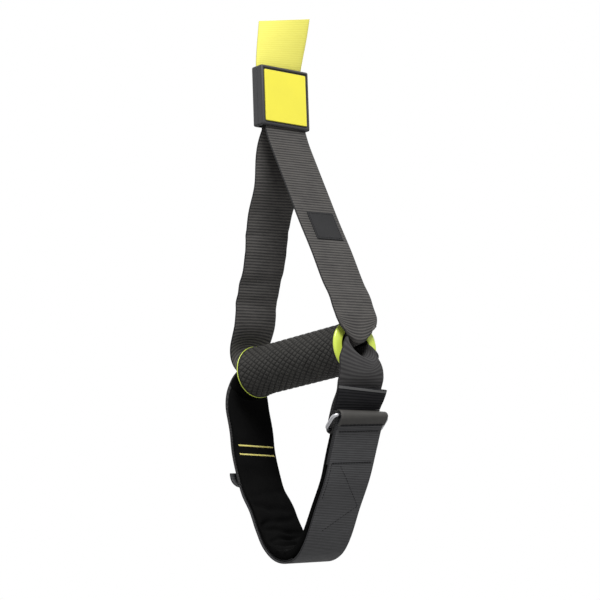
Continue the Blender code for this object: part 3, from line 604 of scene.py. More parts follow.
def yoke_path():
    """Stations from the far leg's sewn end to the near leg's."""
    top = HANDLE_RISE + PLY_LENGTH
    far = [(-leg_x * out, 0, HANDLE_RISE * up, math.radians(yaw), curl / yoke_curl, math.pi)
           for (out, up, curl), yaw in zip(far_leg_shares, far_leg_yaws)]
    far = far[::-1] + [(-END_X - out * (LEG_STANDOFF + BULGE), 0, yoke_curl + up * BULGE_RISE,
                        0, curl / yoke_curl, math.pi)
                       for out, up, curl in far_neck_shares[::-1]]
    bore = []
    for x, turned in roll_turn_shares[::-1]:
        angle = math.pi * turned
        bore.append((END_X * x, ROLLED_RADIUS * math.sin(angle),
                     ROLLED_HEIGHT - ROLLED_RADIUS * math.cos(angle), 0, 1 / ROLLED_RADIUS, angle))
    near = [(END_X + x, 0, z, 0, 1 / radius, 0) for x, z, radius in tongue]
    near += [(leg_x * out, 0, HANDLE_RISE * up, 0, 0, 0) for out, up in near_leg_shares]
    mouth = HANDLE_RISE - STRAP_THICKNESS
    path = [(-ply_x, 0, mouth, 0, 0, math.pi)] + far + bore + near + [(ply_x, 0, mouth, 0, 0, 0)]
    return ([(-ply_x, 0, top, 0, 0, math.pi)] + smooth(path, CURVE_STEPS)
            + [(ply_x, 0, top, 0, 0, 0)])


yoke_ribs = ribs(RIB_PITCH, RIB_HEIGHT)


def yoke_relief(along, aside, face):
    """Ribs all along, and soft creases across the far leg."""
    shift = 0
    for place, height, breadth, slant in creases:
        away = (along - PLY_LENGTH - place - slant * aside) / breadth
        shift += height * math.exp(-away * away)
    return yoke_ribs(along, aside, face) + shift


def ribbed_nylon(name, groove_shade_color, rib_color, sheen=0.0):
    """The nylon of the yoke, the hanger and its tab; the hanger's darker colour is painted shade.
    """
    return woven(name, groove_shade_color, rib_color, RIB_PITCH, WARP_PITCH, NYLON_NAP, sheen=sheen)


charcoal_webbing = ribbed_nylon("charcoal_webbing", CHARCOAL_GROOVE_SHADE, CHARCOAL, sheen=0.08)
yoke_stations, yoke_length = spaced(yoke_path(), FINE_STEP)
yoke = lay_band("yoke_strap", yoke_stations, yoke_length, YOKE_THICKNESS, charcoal_webbing,
                relief=yoke_relief)
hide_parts("yoke_webbing")
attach(yoke, "yoke")

# The sewn joint's thread: black bonded thread that holds yoke and main strap together inside
# the badge. Its two runs keep their CAD shape.
THREAD_BLACK = (0.007, 0.007, 0.008)


def uneven_gloss(finish, scale, detail, low, high):
    """Roughness that changes from place to place, between low and high."""
    into_shader(finish, "Roughness", node(finish, "MapRange", {
        "Value": grained(finish, scale, detail), "To Min": low, "To Max": high}))


def refinish(name, finish):
    """A CAD node that keeps its shape and gets a finished material."""
    nodes[name].data.materials.clear()
    nodes[name].data.materials.append(finish)


dark_thread = material("dark_thread", THREAD_BLACK, specular=0.15)
uneven_gloss(dark_thread, scale=3000.0, detail=2.0, low=0.55, high=0.85)
refinish("sewn_joint_thread_front", dark_thread)
refinish("sewn_joint_thread_rear", dark_thread)

# Woven label: a black satin patch, sewn to the outer face of the near leg by a row of
# stitches along its edge. It is left blank.
LABEL_WIDTH = 0.0245
LABEL_HEIGHT = 0.0235
LABEL_THICKNESS = 0.0005
LABEL_OFFSET = 0.0028
LABEL_START = 0.1075               # down the near leg from its sewn end
LABEL_BORDER = 0.0013
LABEL_LIFT = 0.0001
LABEL_WEFT = 0.0005
LABEL_WARP = 0.0007
LABEL_NAP = 0.00003
LABEL_STITCH = 0.0016              # from one stitch to the next
STITCH_RADIUS = 0.00022
LABEL_BLACK = (0.011, 0.011, 0.012)
LABEL_GLINT = (0.025, 0.025, 0.026)


def heading(a, b):
    """The direction from one station to another, seen along Y."""
    return Vector((b[0] - a[0], b[2] - a[2])).normalized()


def shifted(path, distances):
    """The same band, moved to the left of its direction of travel.

    distances is one distance for all its stations, or a list with one for each.
    """
    if not isinstance(distances, list):
        distances = [distances] * len(path)
    moved = []
    for j, (x, y, z, yaw, curl, roll) in enumerate(path):
        way = heading(path[max(j - 1, 0)], path[min(j + 1, len(path) - 1)]) * distances[j]
        moved.append((x - way.y, y, z + way.x, yaw, curl, roll))
    return moved


def cut(path, start, end):
    """The stretch of a path between two lengths along it."""
    stretch = []
    travelled = 0
    for a, b in zip(path, path[1:]):
        step = math.dist(a[:3], b[:3])
        for mark in (start, end):
            if travelled <= mark < travelled + step:
                stretch.append(between(a, b, (mark - travelled) / step))
        travelled += step
        if start + NUDGE < travelled < end - NUDGE:
            stretch.append(b)
    return stretch


def laid_on(path, distance, start, length):
    """Stations of a layer that lies a distance off a stretch of a band, and its length."""
    return spaced(cut(shifted(path, distance), start, start + length), FINE_STEP)


def stitch_line(name, spots, radius, finish):
    """Short stitches, one between each pair of spots, as rounded beads of thread."""
    shape = bmesh.new()
    for start, end in spots:
        run = end - start
        bead = bmesh.ops.create_uvsphere(shape, u_segments=8, v_segments=6, radius=1)["verts"]
        bmesh.ops.scale(shape, verts=bead, vec=(radius, radius, run.length / 2))
        bmesh.ops.rotate(shape, verts=bead, cent=(0, 0, 0),
                         matrix=run.to_track_quat("Z", "Y").to_matrix())
        bmesh.ops.translate(shape, verts=bead, vec=(start + end) / 2)
    return made_piece(name, shape, finish)


def spot_on(path, mark, side, out):
    """A place above a band: a length along it, a distance aside and a height off it."""
    here = cut(path, mark, mark + NUDGE)
    a = across(here[0], side)
    b = across(here[1], side)
    breadth = across(here[0], side + NUDGE) - across(here[0], side - NUDGE)
    return GRIP + a + (b - a).cross(breadth).normalized() * out


def stitched_run(path, corners, pitch, out, share=0.72):
    """Stitches along straight lines between (mark, side) corners of a band."""
    spots = []
    for a, b in zip(corners, corners[1:]):
        count = max(1, round(math.dist(a, b) / pitch))
        for k in range(count):
            spots.append([spot_on(path, *between(a, b, (k + place) / count), out)
                          for place in ((1 - share) / 2, (1 + share) / 2)])
    return spots


label_cloth = woven("label_cloth", LABEL_BLACK, LABEL_GLINT, LABEL_WEFT, LABEL_WARP, LABEL_NAP,
                    roughness=0.5, sheen=0.1)
label_stations, label_length = laid_on(
    yoke_stations[::-1], YOKE_THICKNESS / 2 + LABEL_THICKNESS / 2 + LABEL_LIFT, LABEL_START,
    LABEL_HEIGHT)
label = lay_band("blank_label", label_stations, label_length, LABEL_THICKNESS, label_cloth,
                 width=LABEL_WIDTH, middle=LABEL_OFFSET)
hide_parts("woven_label")
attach(label, "yoke")
top = LABEL_BORDER
bottom = label_length - LABEL_BORDER
left = LABEL_OFFSET - LABEL_WIDTH / 2 + LABEL_BORDER
right = LABEL_OFFSET + LABEL_WIDTH / 2 - LABEL_BORDER
label_corners = [(top, left), (top, right), (bottom, right), (bottom, left), (top, left)]
label_seam = stitch_line(
    "label_stitches", stitched_run(label_stations, label_corners, LABEL_STITCH,
                                   LABEL_THICKNESS / 2), STITCH_RADIUS, dark_thread)
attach(label_seam, "yoke")

# Grip: a foam-rubber sleeve over a black anodised tube. The sleeve is moulded with a diamond
# scale texture, and flares a little towards the flanges at its ends.
TUBE_WALL = 0.0018
SLEEVE_THICKNESS = 0.0033
FLANGE_WIDTH = 0.0020
FLARE = 0.0016
FLARE_LENGTH = 0.012
SCALES_AROUND = 26
SCALE_PITCH = 0.0068               # along the grip
GROOVE = 0.00070
RIM_FADE = 0.0025                  # beside each end, over which the scales run out
GROOVE_SHARE = 0.22                # of a scale, from its edge to its flat
SCALE_TIP = 0.28                   # of a scale's height, by which one end of it is lower
CREST_MIDDLE = 0.6                 # of a scale's height, that lies at the sleeve's own radius
SLEEVE_COLUMNS = 300
SLEEVE_ROWS = 260
# painted shade in the grooves between scales, and the crests' colour, part wear and part painted
# highlight
RUBBER_GROOVE_SHADE = (0.006, 0.006, 0.006)
RUBBER_CREST_WEAR_AND_HIGHLIGHT = (0.056, 0.054, 0.050)
TUBE_BLACK = (0.030, 0.030, 0.032)
sleeve_inner = BORE_RADIUS + TUBE_WALL + GAP
sleeve_radius = sleeve_inner + SLEEVE_THICKNESS
sleeve_half = END_X - FLANGE_WIDTH - GAP


def scale_height(turn, x):
    """0 in the grooves between scales, 1 at their crests, tipped a little along the grip."""
    first = (turn * SCALES_AROUND + x / SCALE_PITCH) % 1
    second = (turn * SCALES_AROUND - x / SCALE_PITCH) % 1
    edge = min(first, 1 - first, second, 1 - second)
    rise = min(1, edge / GROOVE_SHARE)
    return rise * rise * (3 - 2 * rise) * (1 - SCALE_TIP + SCALE_TIP * first)


sleeve_shape = bmesh.new()
bmesh.ops.create_grid(sleeve_shape, x_segments=SLEEVE_ROWS, y_segments=SLEEVE_COLUMNS, size=1)
crest = sleeve_shape.verts.layers.float.new("crest")
for corner in sleeve_shape.verts:
    x = corner.co.x * sleeve_half
    turn = (corner.co.y + 1) / 2
    angle = 2 * math.pi * turn
    end = max(0, 1 - (sleeve_half - abs(x)) / FLARE_LENGTH)
    corner[crest] = scale_height(turn, x) * min(1, (sleeve_half - abs(x)) / RIM_FADE)
    radius = sleeve_radius + FLARE * end * end + GROOVE * (corner[crest] - CREST_MIDDLE)
    corner.co = GRIP + Vector((x, radius * math.sin(angle), radius * math.cos(angle)))
bmesh.ops.remove_doubles(sleeve_shape, verts=sleeve_shape.verts, dist=NUDGE / 100)
for side in (-1, 1):
    rim_edges = [edge for edge in sleeve_shape.edges if edge.is_boundary
                 and side * (edge.verts[0].co.x - GRIP.x) > sleeve_half / 2]
    grown = bmesh.ops.extrude_edge_only(sleeve_shape, edges=rim_edges)
    for corner in new_corners(grown):
        spoke = Vector((0, corner.co.y - GRIP.y, corner.co.z - GRIP.z)).normalized()
        corner.co = Vector((corner.co.x, GRIP.y, GRIP.z)) + spoke * sleeve_inner
bmesh.ops.recalc_face_normals(sleeve_shape, faces=sleeve_shape.faces)
sleeve_rubber = material("sleeve_rubber", RUBBER_CREST_WEAR_AND_HIGHLIGHT, roughness=0.62, specular=0.2)
worn = grained(sleeve_rubber, 90.0, detail=6.0)
pores = grained(sleeve_rubber, 1900.0, detail=3.0)
# The scales' height sets the tone: painted shade darkens the grooves, and the crests are lighter,
# partly with wear and partly with a painted highlight.
height = node(sleeve_rubber, "Attribute", attribute_name="crest").node.outputs["Fac"]
tone = added(sleeve_rubber, height, share=0.8, base=-0.22)
tone = added(sleeve_rubber, worn, share=0.55, base=tone)
tone = added(sleeve_rubber, pores, share=0.25, base=tone)
tinted(sleeve_rubber, tone, RUBBER_GROOVE_SHADE, RUBBER_CREST_WEAR_AND_HIGHLIGHT)
bumped(sleeve_rubber, pores, strength=0.5, depth=0.00008)
sleeve = made_piece("scaled_sleeve", sleeve_shape, sleeve_rubber, BAND_SHARP)
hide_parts("grip_sleeve")
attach(sleeve, "grip")

tube_metal = material("tube_metal", TUBE_BLACK, specular=0.3)
uneven_gloss(tube_metal, scale=220.0, detail=5.0, low=0.28, high=0.5)
refinish("core_tube", tube_metal)

# End flanges: lime collars of glossy plastic that cap the tube and keep the webbing's folds
# off the sleeve. Each is turned: a section spun once round the grip.
FLANGE_RADIUS = 0.0197
FLANGE_LIP = 0.0012
FAR_TRIM = 0.0005                  # by which the far one is smaller than the near one
LIP_ROUND = 0.0010
LIP_ANGLES = (0, 22, 45, 67, 90)   # round the lip, in degrees
TURNED_SHARP = 40                  # degrees, past which an edge of a turned piece stays sharp
SPIN_STEPS = 128
LIME = (0.66, 0.80, 0.10)
flange_section_shares = (          # (along the flange from its inner face, down from its rim)
    (0.00, 0.16), (0.04, 0.05), (0.12, 0.00), (0.28, 0.02), (0.44, 0.10), (0.60, 0.26),
    (0.74, 0.50), (0.86, 0.85), (0.94, 1.25), (0.985, 1.75), (1.00, 2.30))


def turn_piece(name, outline, finish):
    """A closed section of (x, radius) points, spun round the grip's axis."""
    shape = bmesh.new()
    corners = [shape.verts.new(GRIP + Vector((x, 0, radius))) for x, radius in outline]
    edges = [shape.edges.new(pair) for pair in zip(corners, corners[1:] + corners[:1])]
    bmesh.ops.spin(shape, geom=corners + edges, cent=GRIP, axis=(1, 0, 0), angle=2 * math.pi,
                   steps=SPIN_STEPS, use_merge=True)
    bmesh.ops.remove_doubles(shape, verts=shape.verts, dist=NUDGE / 100)
    bmesh.ops.recalc_face_normals(shape, faces=shape.faces)
    return made_piece(name, shape, finish, TURNED_SHARP)


lime_plastic = moulded("lime_plastic", LIME, roughness=0.24, grain_scale=1800.0,
                       grain_depth=0.00004, wear=0.08)
for name, side in (("flange_near", 1), ("flange_far", -1)):
    inner = END_X - FLANGE_WIDTH
    rim = FLANGE_RADIUS - (FAR_TRIM if side < 0 else 0)
    outline = [(inner, sleeve_inner)]
    outline += [(inner + FLANGE_WIDTH * a, rim - FLANGE_WIDTH * d)
                for a, d in flange_section_shares]
    outline += [(END_X - LIP_ROUND * (1 - math.cos(math.radians(angle))),
                 BORE_RADIUS + LIP_ROUND * (1 - math.sin(math.radians(angle))))
                for angle in LIP_ANGLES]
    outline += [(END_X - FLANGE_LIP, BORE_RADIUS), (END_X - FLANGE_LIP, sleeve_inner)]
    outline = [(side * x, radius) for x, radius in outline]
    flange = turn_piece(name + "_collar", outline, lime_plastic)
    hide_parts(name)
    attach(flange, "grip")

# Foot loop: the line of its outer face, from the far side of the grip down and round to the
# ring. The ring's two long bars follow from the loop's end.
LOOP_REACH = 0.0732
LOOP_DROP = 0.1439
RING_WIRE_RADIUS = 0.0015
RING_SPAN = 0.0136
RING_TILT = math.radians(35)
RING_ROLL = math.radians(-3)       # it hangs a little lower on its +Y side
RING_CORNER = 0.003
RING_SIDE_GAP = 0.0014
ROLL_RISE = 0.0097
CRADLE_GAP = 0.0004
LOOP_STEPS = 8                     # between two points of its path
cradle_curl = yoke_curl - YOKE_THICKNESS - CRADLE_GAP
loop_shares = (                    # (x, z, yaw in degrees, curl)
    (-0.964, -0.103, 0, 0.56), (-0.989, -0.129, 0, 0.38), (-0.999, -0.156, 0, 0.17),
    (-1.000, -0.185, 0, 0.04), (-0.969, -0.292, 0, 0), (-0.963, -0.403, 0, 0),
    (-0.918, -0.521, 0, 0), (-0.858, -0.625, 0, 0), (-0.754, -0.716, 1, 0),
    (-0.678, -0.813, 2, 0), (-0.581, -0.907, 3, 0), (-0.423, -0.977, 4, 0),
    (-0.219, -1.000, 6, 0), (-0.041, -0.975, 8, 0), (0.109, -0.903, 8, 0),
    (0.288, -0.768, 7, 0), (0.474, -0.632, 7, 0), (0.615, -0.493, 8, 0), (0.705, -0.404, 8, 0))
loop = smooth([(x * LOOP_REACH, 0, z * LOOP_DROP, math.radians(yaw), curl / cradle_curl, 0)
               for x, z, yaw, curl in loop_shares], LOOP_STEPS)
loop, loop_length = spaced(loop, FINE_STEP)
loop_end = Vector((loop[-1][0], loop[-1][2]))
loop_way = (loop_end - Vector((loop[-3][0], loop[-3][2]))).normalized()
ring_yaw = loop[-1][3]
ring_across = Vector((math.sin(ring_yaw), math.cos(ring_yaw), math.sin(RING_ROLL))).normalized()
outer_bar = (loop_end + loop_way * ROLL_RISE
             + Vector((-loop_way.y, loop_way.x)) * STRAP_THICKNESS / 2)
inner_bar = outer_bar - Vector((math.cos(RING_TILT), math.sin(RING_TILT))) * RING_SPAN

# Cradle webbing: the same ribbed nylon, in a darker copy of its colour that is painted shade. It
# is sewn behind the pad, goes through the grip under the yoke, drops to the ring and folds back up
# as a pull tab on hook tape.
CRADLE_STANDOFF = 0.0019
PAD_OVERLAP = 0.0680
HANGER_DROP = 0.0250
HANGER_LEAN = 0.0040
HANGER_SAG = 0.0010
HANGER_TOP_YAW_SHARE = 0.9
HANGER_ASIDE = -0.0010             # of its upper end
WRAP_CLEARANCE = 0.00060
WRAP_START = 90                    # in degrees round the bar, from the hanger's direction
WRAP_STOP = 268
WRAP_STEPS = 16
TAB_LENGTH = 0.0318
TAB_STANDOFF = 0.0024
TAB_HINGE_SHARE = 0.47
TAB_ROLL = math.radians(-7.5)      # of its cut end
TAB_YAW = math.radians(5)
TAB_ASIDE = -0.0012
# the yoke's charcoal nylon, darkened as painted shade
CRADLE_SHADED_GREY = (0.070, 0.068, 0.068)
# painted shade in the grooves between the cradle webbing's ribs
CRADLE_GROOVE_SHADE = (0.028, 0.027, 0.028)
TAB_BLACK = (0.022, 0.022, 0.024)
# painted shade in the grooves between the tab's ribs
TAB_GROOVE_SHADE = (0.005, 0.005, 0.006)
SEAL_LENGTH = 0.0022               # of its melted end
SEAL_GREY = (0.120, 0.120, 0.120)
hanger_x = leg_x + YOKE_THICKNESS + CRADLE_STANDOFF
wrap_radius = RING_WIRE_RADIUS + WRAP_CLEARANCE + YOKE_THICKNESS / 2
near_mouth_rows = (                # (out, aside, z, yaw, roll, radius of its curl, fold, kept)
    (0.00, 0.0020, -0.0092, 0, -8, 0.0085, 0.0020, 0.70),
    (0.50, 0.0034, -0.0100, 0, -15, 0.0068, 0.0038, 0.36),
    (0.80, 0.0058, -0.0110, 0, -16, 0.0056, 0.0062, 0.14),
    (0.95, 0.0066, -0.0122, 1, -17, 0.0053, 0.0072, 0.06),
    (1.00, 0.0057, -0.0138, 2, -16, 0.0060, 0.0072, 0.05),
    (1.00, 0.0033, -0.0157, 3, -13, 0.0085, 0.0060, 0.05),
    (0.97, 0.0012, -0.0178, 4, -9, 0.0140, 0.0036, 0.10),
    (0.86, -0.0004, -0.0204, 5, -4, 0.0300, 0.0014, 0.40),
    (0.62, -0.0011, -0.0232, 6, -1, 0.1000, 0.0002, 0.90))
far_mouth_shares = (               # (out, down, curl)
    (0.000, 0.00, 1.00), (0.450, 0.00, 1.00), (0.700, 0.18, 0.93), (0.880, 0.52, 0.76))
hanger_shares = (                  # (up from the ring, of the ring's yaw, of the sag)
    (0.78, 0.6, 0.4), (0.52, 0.9, 1.0), (0.26, 1.0, 0.7))
tab_lower_shares = (               # (up from the ring, out) below the tab's hinge
    (0.10, 0.80), (0.20, 0.35), (0.36, -0.08))
tab_upper_shares = (               # and above it
    (0.56, 0.06), (0.70, 0.35), (0.88, 0.54), (1.00, 0.52))
hanger_top = Vector((hanger_x - HANGER_LEAN, -HANGER_DROP))
hanger_run = (hanger_top - inner_bar).length
hanger_way = (Matrix.Rotation(-math.asin(wrap_radius / hanger_run), 2)
              @ (hanger_top - inner_bar).normalized())
hanger_out = Vector((hanger_way.y, -hanger_way.x))


def by_ring(along, out, yaw=ring_yaw):
    """A station measured from the ring's inner bar, up the hanger and outwards."""
    place = inner_bar + hanger_way * along + hanger_out * out
    return (place.x, 0, place.y, yaw, 0, 0)


def turned_tab(along, out, share):
    """A station of the tab's free part, turned by a share of what its cut end is."""
    x, _, z, yaw, curl, _ = by_ring(TAB_LENGTH * along, TAB_STANDOFF * out)
    return (x, TAB_ASIDE * share, z, yaw + TAB_YAW * share, curl, TAB_ROLL * share)


def arc(centre, radius, first, last, steps):
    """Stations round a bar, between two angles in degrees from +X towards +Z."""
    stations = []
    for step in range(steps + 1):
        angle = math.radians(first + (last - first) * step / steps)
        stations.append((centre.x + radius * math.cos(angle), 0,
                         centre.y + radius * math.sin(angle), ring_yaw, 0,
                         RING_ROLL * math.sin(math.pi * step / steps)))
    return stations


far_hanger = shifted(cut(loop, 0, PAD_OVERLAP), YOKE_THICKNESS / 2)
far_reach = -far_hanger[0][0] - END_X
far_drop = -far_hanger[0][2] - cradle_curl
far_mouth = [(-END_X - out * far_reach, 0, -cradle_curl - down * far_drop, 0,
              curl / cradle_curl, 0) for out, down, curl in far_mouth_shares]
near_mouth = [(END_X + out * (hanger_x - END_X), aside, z, math.radians(yaw), 1 / radius,
               math.radians(roll), fold, kept)
              for out, aside, z, yaw, roll, radius, fold, kept in near_mouth_rows]
even = (0, 1)
hanger = [(hanger_top.x, HANGER_ASIDE, hanger_top.y, ring_yaw * HANGER_TOP_YAW_SHARE, 0, 0)
          + even]
hanger += [by_ring(hanger_run * along, -wrap_radius - HANGER_SAG * sag, ring_yaw * turn) + even
           for along, turn, sag in hanger_shares]
wrap_angle = math.degrees(math.atan2(hanger_way.y, hanger_way.x))
wrap = arc(inner_bar, wrap_radius, wrap_angle + WRAP_START, wrap_angle + WRAP_STOP, WRAP_STEPS)
tab_middle = by_ring(TAB_LENGTH * TAB_HINGE_SHARE, 0)
tab_lower = smooth([by_ring(TAB_LENGTH * a, TAB_STANDOFF * o) for a, o in tab_lower_shares]
                   + [tab_middle], CURVE_STEPS)
tab_upper = smooth([tab_middle] + [
    turned_tab(a, o, (a - TAB_HINGE_SHARE) / (1 - TAB_HINGE_SHARE))
    for a, o in tab_upper_shares], CURVE_STEPS)
near_run = smooth(near_mouth + hanger, CURVE_STEPS)
far_run = far_hanger[::-1] + smooth(far_mouth + [far_hanger[0]], CURVE_STEPS)[:-1][::-1]
cradle_path = ([station + even for station in far_run] + near_run
               + [station + even for station in wrap + tab_lower])
cradle_stations, cradle_length = spaced(cradle_path, FINE_STEP)
cradle_nylon_shaded = ribbed_nylon("cradle_nylon_shaded", CRADLE_GROOVE_SHADE, CRADLE_SHADED_GREY, sheen=0.05)
# This piece and the tab each end one step short of the tab's hinge.
cradle = lay_band("cradle_strap", cradle_stations[:-1], cradle_length, YOKE_THICKNESS,
                  cradle_nylon_shaded, relief=ribs(RIB_PITCH, RIB_HEIGHT / 2))
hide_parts("cradle_webbing")
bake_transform(cradle)

tab_stations, tab_length = spaced(tab_upper, FINE_STEP)
tab_webbing = ribbed_nylon("tab_webbing", TAB_GROOVE_SHADE, TAB_BLACK)
tab = lay_band("pull_tab_strap", tab_stations[1:], tab_length, YOKE_THICKNESS, tab_webbing,
               relief=ribs(RIB_PITCH, RIB_HEIGHT))
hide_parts("pull_tab")
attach(tab, "tab")
sealed_stations, sealed_length = spaced(
    cut(tab_stations, tab_length - SEAL_LENGTH, tab_length), FINE_STEP / 2)
sealed_finish = moulded("sealed_finish", SEAL_GREY, roughness=0.6, grain_scale=1500.0,
                        grain_depth=0.0001, specular=0.2)
seal = lay_band("tab_sealed_end", sealed_stations, sealed_length, YOKE_THICKNESS + GAP / 2,
                sealed_finish)
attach(seal, "tab")

# Hook tape: black fastener tape with a pile of tiny hooks, on the hanger under the tab and
# between the strap and the pad.
HOOK_SCALE = 900.0                 # hooks per metre
HOOK_TIP = (0.035, 0.035, 0.037)
HOOK_ROOT = (0.006, 0.006, 0.006)
hook_pile = material("hook_pile", HOOK_TIP, roughness=0.85, specular=FABRIC_GLOSS)
hooks = node(hook_pile, "TexVoronoi", {"Vector": object_place(hook_pile), "Scale": HOOK_SCALE})
tinted(hook_pile, hooks, HOOK_TIP, HOOK_ROOT)
bumped(hook_pile, hooks, strength=0.8, depth=0.0003)
refinish("hanger_hook_tape", hook_pile)
refinish("strap_hook_tape", hook_pile)

# Slide ring: plated steel wire bent to a rectangle and welded. The strap turns on its outer
# bar, and the hanger on its inner one.
STEEL = (0.50, 0.50, 0.52)
WIRE_ROUNDING = 6                  # which gives the wire 16 sides
CORNER_STEPS = 8                   # round each corner
slope = Vector((math.cos(RING_TILT), 0, math.sin(RING_TILT)))
skew = slope.dot(ring_across)
slope = (slope - ring_across * skew).normalized()
ring_base = GRIP + Vector((inner_bar.x, 0, inner_bar.y)) + ring_across * (RING_SPAN * skew / 2)
ring_half = WEBBING_WIDTH / 2 + RING_SIDE_GAP + RING_WIRE_RADIUS
ring_line = bpy.data.curves.new("wire_ring", "CURVE")
ring_line.dimensions = "3D"
ring_line.bevel_depth = RING_WIRE_RADIUS
ring_line.bevel_resolution = WIRE_ROUNDING
side_end = ring_half - RING_CORNER
bar_end = RING_SPAN - RING_CORNER
ring_corners = (                   # (across, up, degrees where its round starts)
    (side_end, bar_end, 0), (-side_end, bar_end, 90), (-side_end, RING_CORNER, 180),
    (side_end, RING_CORNER, 270))
ring_places = []
for side, up, start in ring_corners:
    for step in range(CORNER_STEPS + 1):
        angle = math.radians(start + 90 * step / CORNER_STEPS)
        ring_places.append(ring_base + ring_across * (side + RING_CORNER * math.cos(angle))
                           + slope * (up + RING_CORNER * math.sin(angle)))
ring_spline = ring_line.splines.new("POLY")
ring_spline.points.add(len(ring_places) - 1)
for spot, place in zip(ring_spline.points, ring_places):
    spot.co = (*place, 1)
ring_spline.use_cyclic_u = True
ring_spline.use_smooth = True
plated_steel = material("plated_steel", STEEL, metallic=1.0)
uneven_gloss(plated_steel, scale=400.0, detail=6.0, low=0.12, high=0.36)
ring_line.materials.append(plated_steel)
ring = bpy.data.objects.new("wire_ring", ring_line)
bpy.context.scene.collection.objects.link(ring)
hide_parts("slide_ring")
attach(ring, "ring")

# Adjusting strap: flat, closely woven webbing up the outside of the loop, over the ring's
# outer bar and down again inside. Seams hold the fold, and a zigzag of stitches the pad.
STRAP_START = 0.072                # along the loop's line
FOLD_LENGTH = 0.026
ROLL_START = -98                   # in degrees round the bar, from the strap's direction
ROLL_STOP = 122
ROLL_STEPS = 20
ROLL_CLEARANCE = 0.0004
STRAP_RIB = 0.0013
STRAP_RIB_HEIGHT = 0.00010
STRAP_WARP = 0.0008
STRAP_NAP = 0.00008
STRAP_GREY = (0.098, 0.098, 0.101)
# painted shade in the grooves between the strap's ribs
STRAP_GROOVE_SHADE = (0.026, 0.026, 0.028)
roll_radius = RING_WIRE_RADIUS + ROLL_CLEARANCE + STRAP_THICKNESS / 2
inner_ply = STRAP_THICKNESS * 3 / 2 + GAP
way_angle = math.degrees(math.atan2(loop_way.y, loop_way.x))
strap_outer = shifted(cut(loop, STRAP_START, loop_length - GAP), STRAP_THICKNESS / 2)
strap_roll = arc(outer_bar, roll_radius, way_angle + ROLL_START, way_angle + ROLL_STOP,
                 ROLL_STEPS)
strap_inner = shifted(cut(loop, loop_length - FOLD_LENGTH, loop_length - GAP), inner_ply)[::-1]
strap_stations, strap_run = spaced(strap_outer + strap_roll + strap_inner, FINE_STEP)
grey_webbing = woven("grey_webbing", STRAP_GROOVE_SHADE, STRAP_GREY, STRAP_RIB, STRAP_WARP, STRAP_NAP,
                     roughness=0.7, sheen=0.05, patches=0.25)
strap_ribs = ribs(STRAP_RIB, STRAP_RIB_HEIGHT)
flat_length = loop_length - STRAP_START
strap = lay_band("foot_strap", strap_stations, strap_run, STRAP_THICKNESS, grey_webbing,
                 relief=strap_ribs)
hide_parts("adjust_strap")

# The fold's cover: a smooth cloth sleeve over the strap's roll, its lower edge hemmed with
# thick dark thread.
COVER_THICKNESS = 0.0006
COVER_START = 0.0042               # above the strap's last flat station
COVER_LENGTH = 0.0175
COVER_GREY = (0.064, 0.061, 0.057)
COVER_SHADE = (0.036, 0.035, 0.033)
SEAM_HALF = 0.0165
HEM_PITCH = 0.0030
HEM_RADIUS = 0.0007
HEM_SHARE = 1.4                    # of the pitch: its stitches overlap
cover_cloth = material("cover_cloth", COVER_GREY, roughness=0.55, specular=0.3)
tinted(cover_cloth, grained(cover_cloth, 120.0, detail=4.0), COVER_SHADE, COVER_GREY)
bumped(cover_cloth, grained(cover_cloth, 1400.0, detail=3.0), strength=0.4, depth=0.00006)
cover_stations, cover_length = laid_on(
    strap_stations, -STRAP_THICKNESS / 2 - COVER_THICKNESS / 2, flat_length + COVER_START,
    COVER_LENGTH)
cover = lay_band("fold_cover", cover_stations, cover_length, COVER_THICKNESS, cover_cloth,
                 width=WEBBING_WIDTH + COVER_THICKNESS)
hem_half = SEAM_HALF + HEM_RADIUS
hem = stitch_line("cover_hem", stitched_run(
    cover_stations, [(HEM_RADIUS, -hem_half), (HEM_RADIUS, hem_half)], HEM_PITCH,
    -COVER_THICKNESS / 2, share=HEM_SHARE), HEM_RADIUS, dark_thread)
for piece in (strap, cover, hem):
    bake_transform(piece)

# Seams: two rows across the strap close its fold, and a zigzag of finer stitches below them
# sews strap and pad together.
SEAM_PITCH = 0.0022
SEAM_SHARE = 1.1                   # of the pitch: their stitches overlap
SEAM_BELOW_ROLL = 0.003
ZIGZAG_DROP = 0.034                # from the lower seam to its outer corner
fold_mark = flat_length - FOLD_LENGTH
seams = (                          # (name, place along the strap, thread's radius)
    ("strap_seam_upper", flat_length - SEAM_BELOW_ROLL, 0.00026),
    ("strap_seam_lower", fold_mark, 0.00045))
zigzag_shares = (                  # two runs of (down from the lower seam, aside)
    ((0, -1), (0.8, -1)), ((0.06, -0.55), (1, 0.95), (1.55, -0.50)))
seam_out = -STRAP_THICKNESS / 2
for name, mark, radius in seams:
    seam = stitch_line(name + "_stitches", stitched_run(
        strap_stations, [(mark, -SEAM_HALF), (mark, SEAM_HALF)], SEAM_PITCH, seam_out,
        share=SEAM_SHARE), radius, dark_thread)
    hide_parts(name)
    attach(seam, "cradle")
zigzag = []
for corner_shares in zigzag_shares:
    corners = [(fold_mark - down * ZIGZAG_DROP, side * SEAM_HALF) for down, side in corner_shares]
    zigzag += stitched_run(strap_stations, corners, SEAM_PITCH, seam_out)
zigzag_seam = stitch_line("zigzag_stitches", zigzag, STITCH_RADIUS, dark_thread)
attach(zigzag_seam, "cradle")

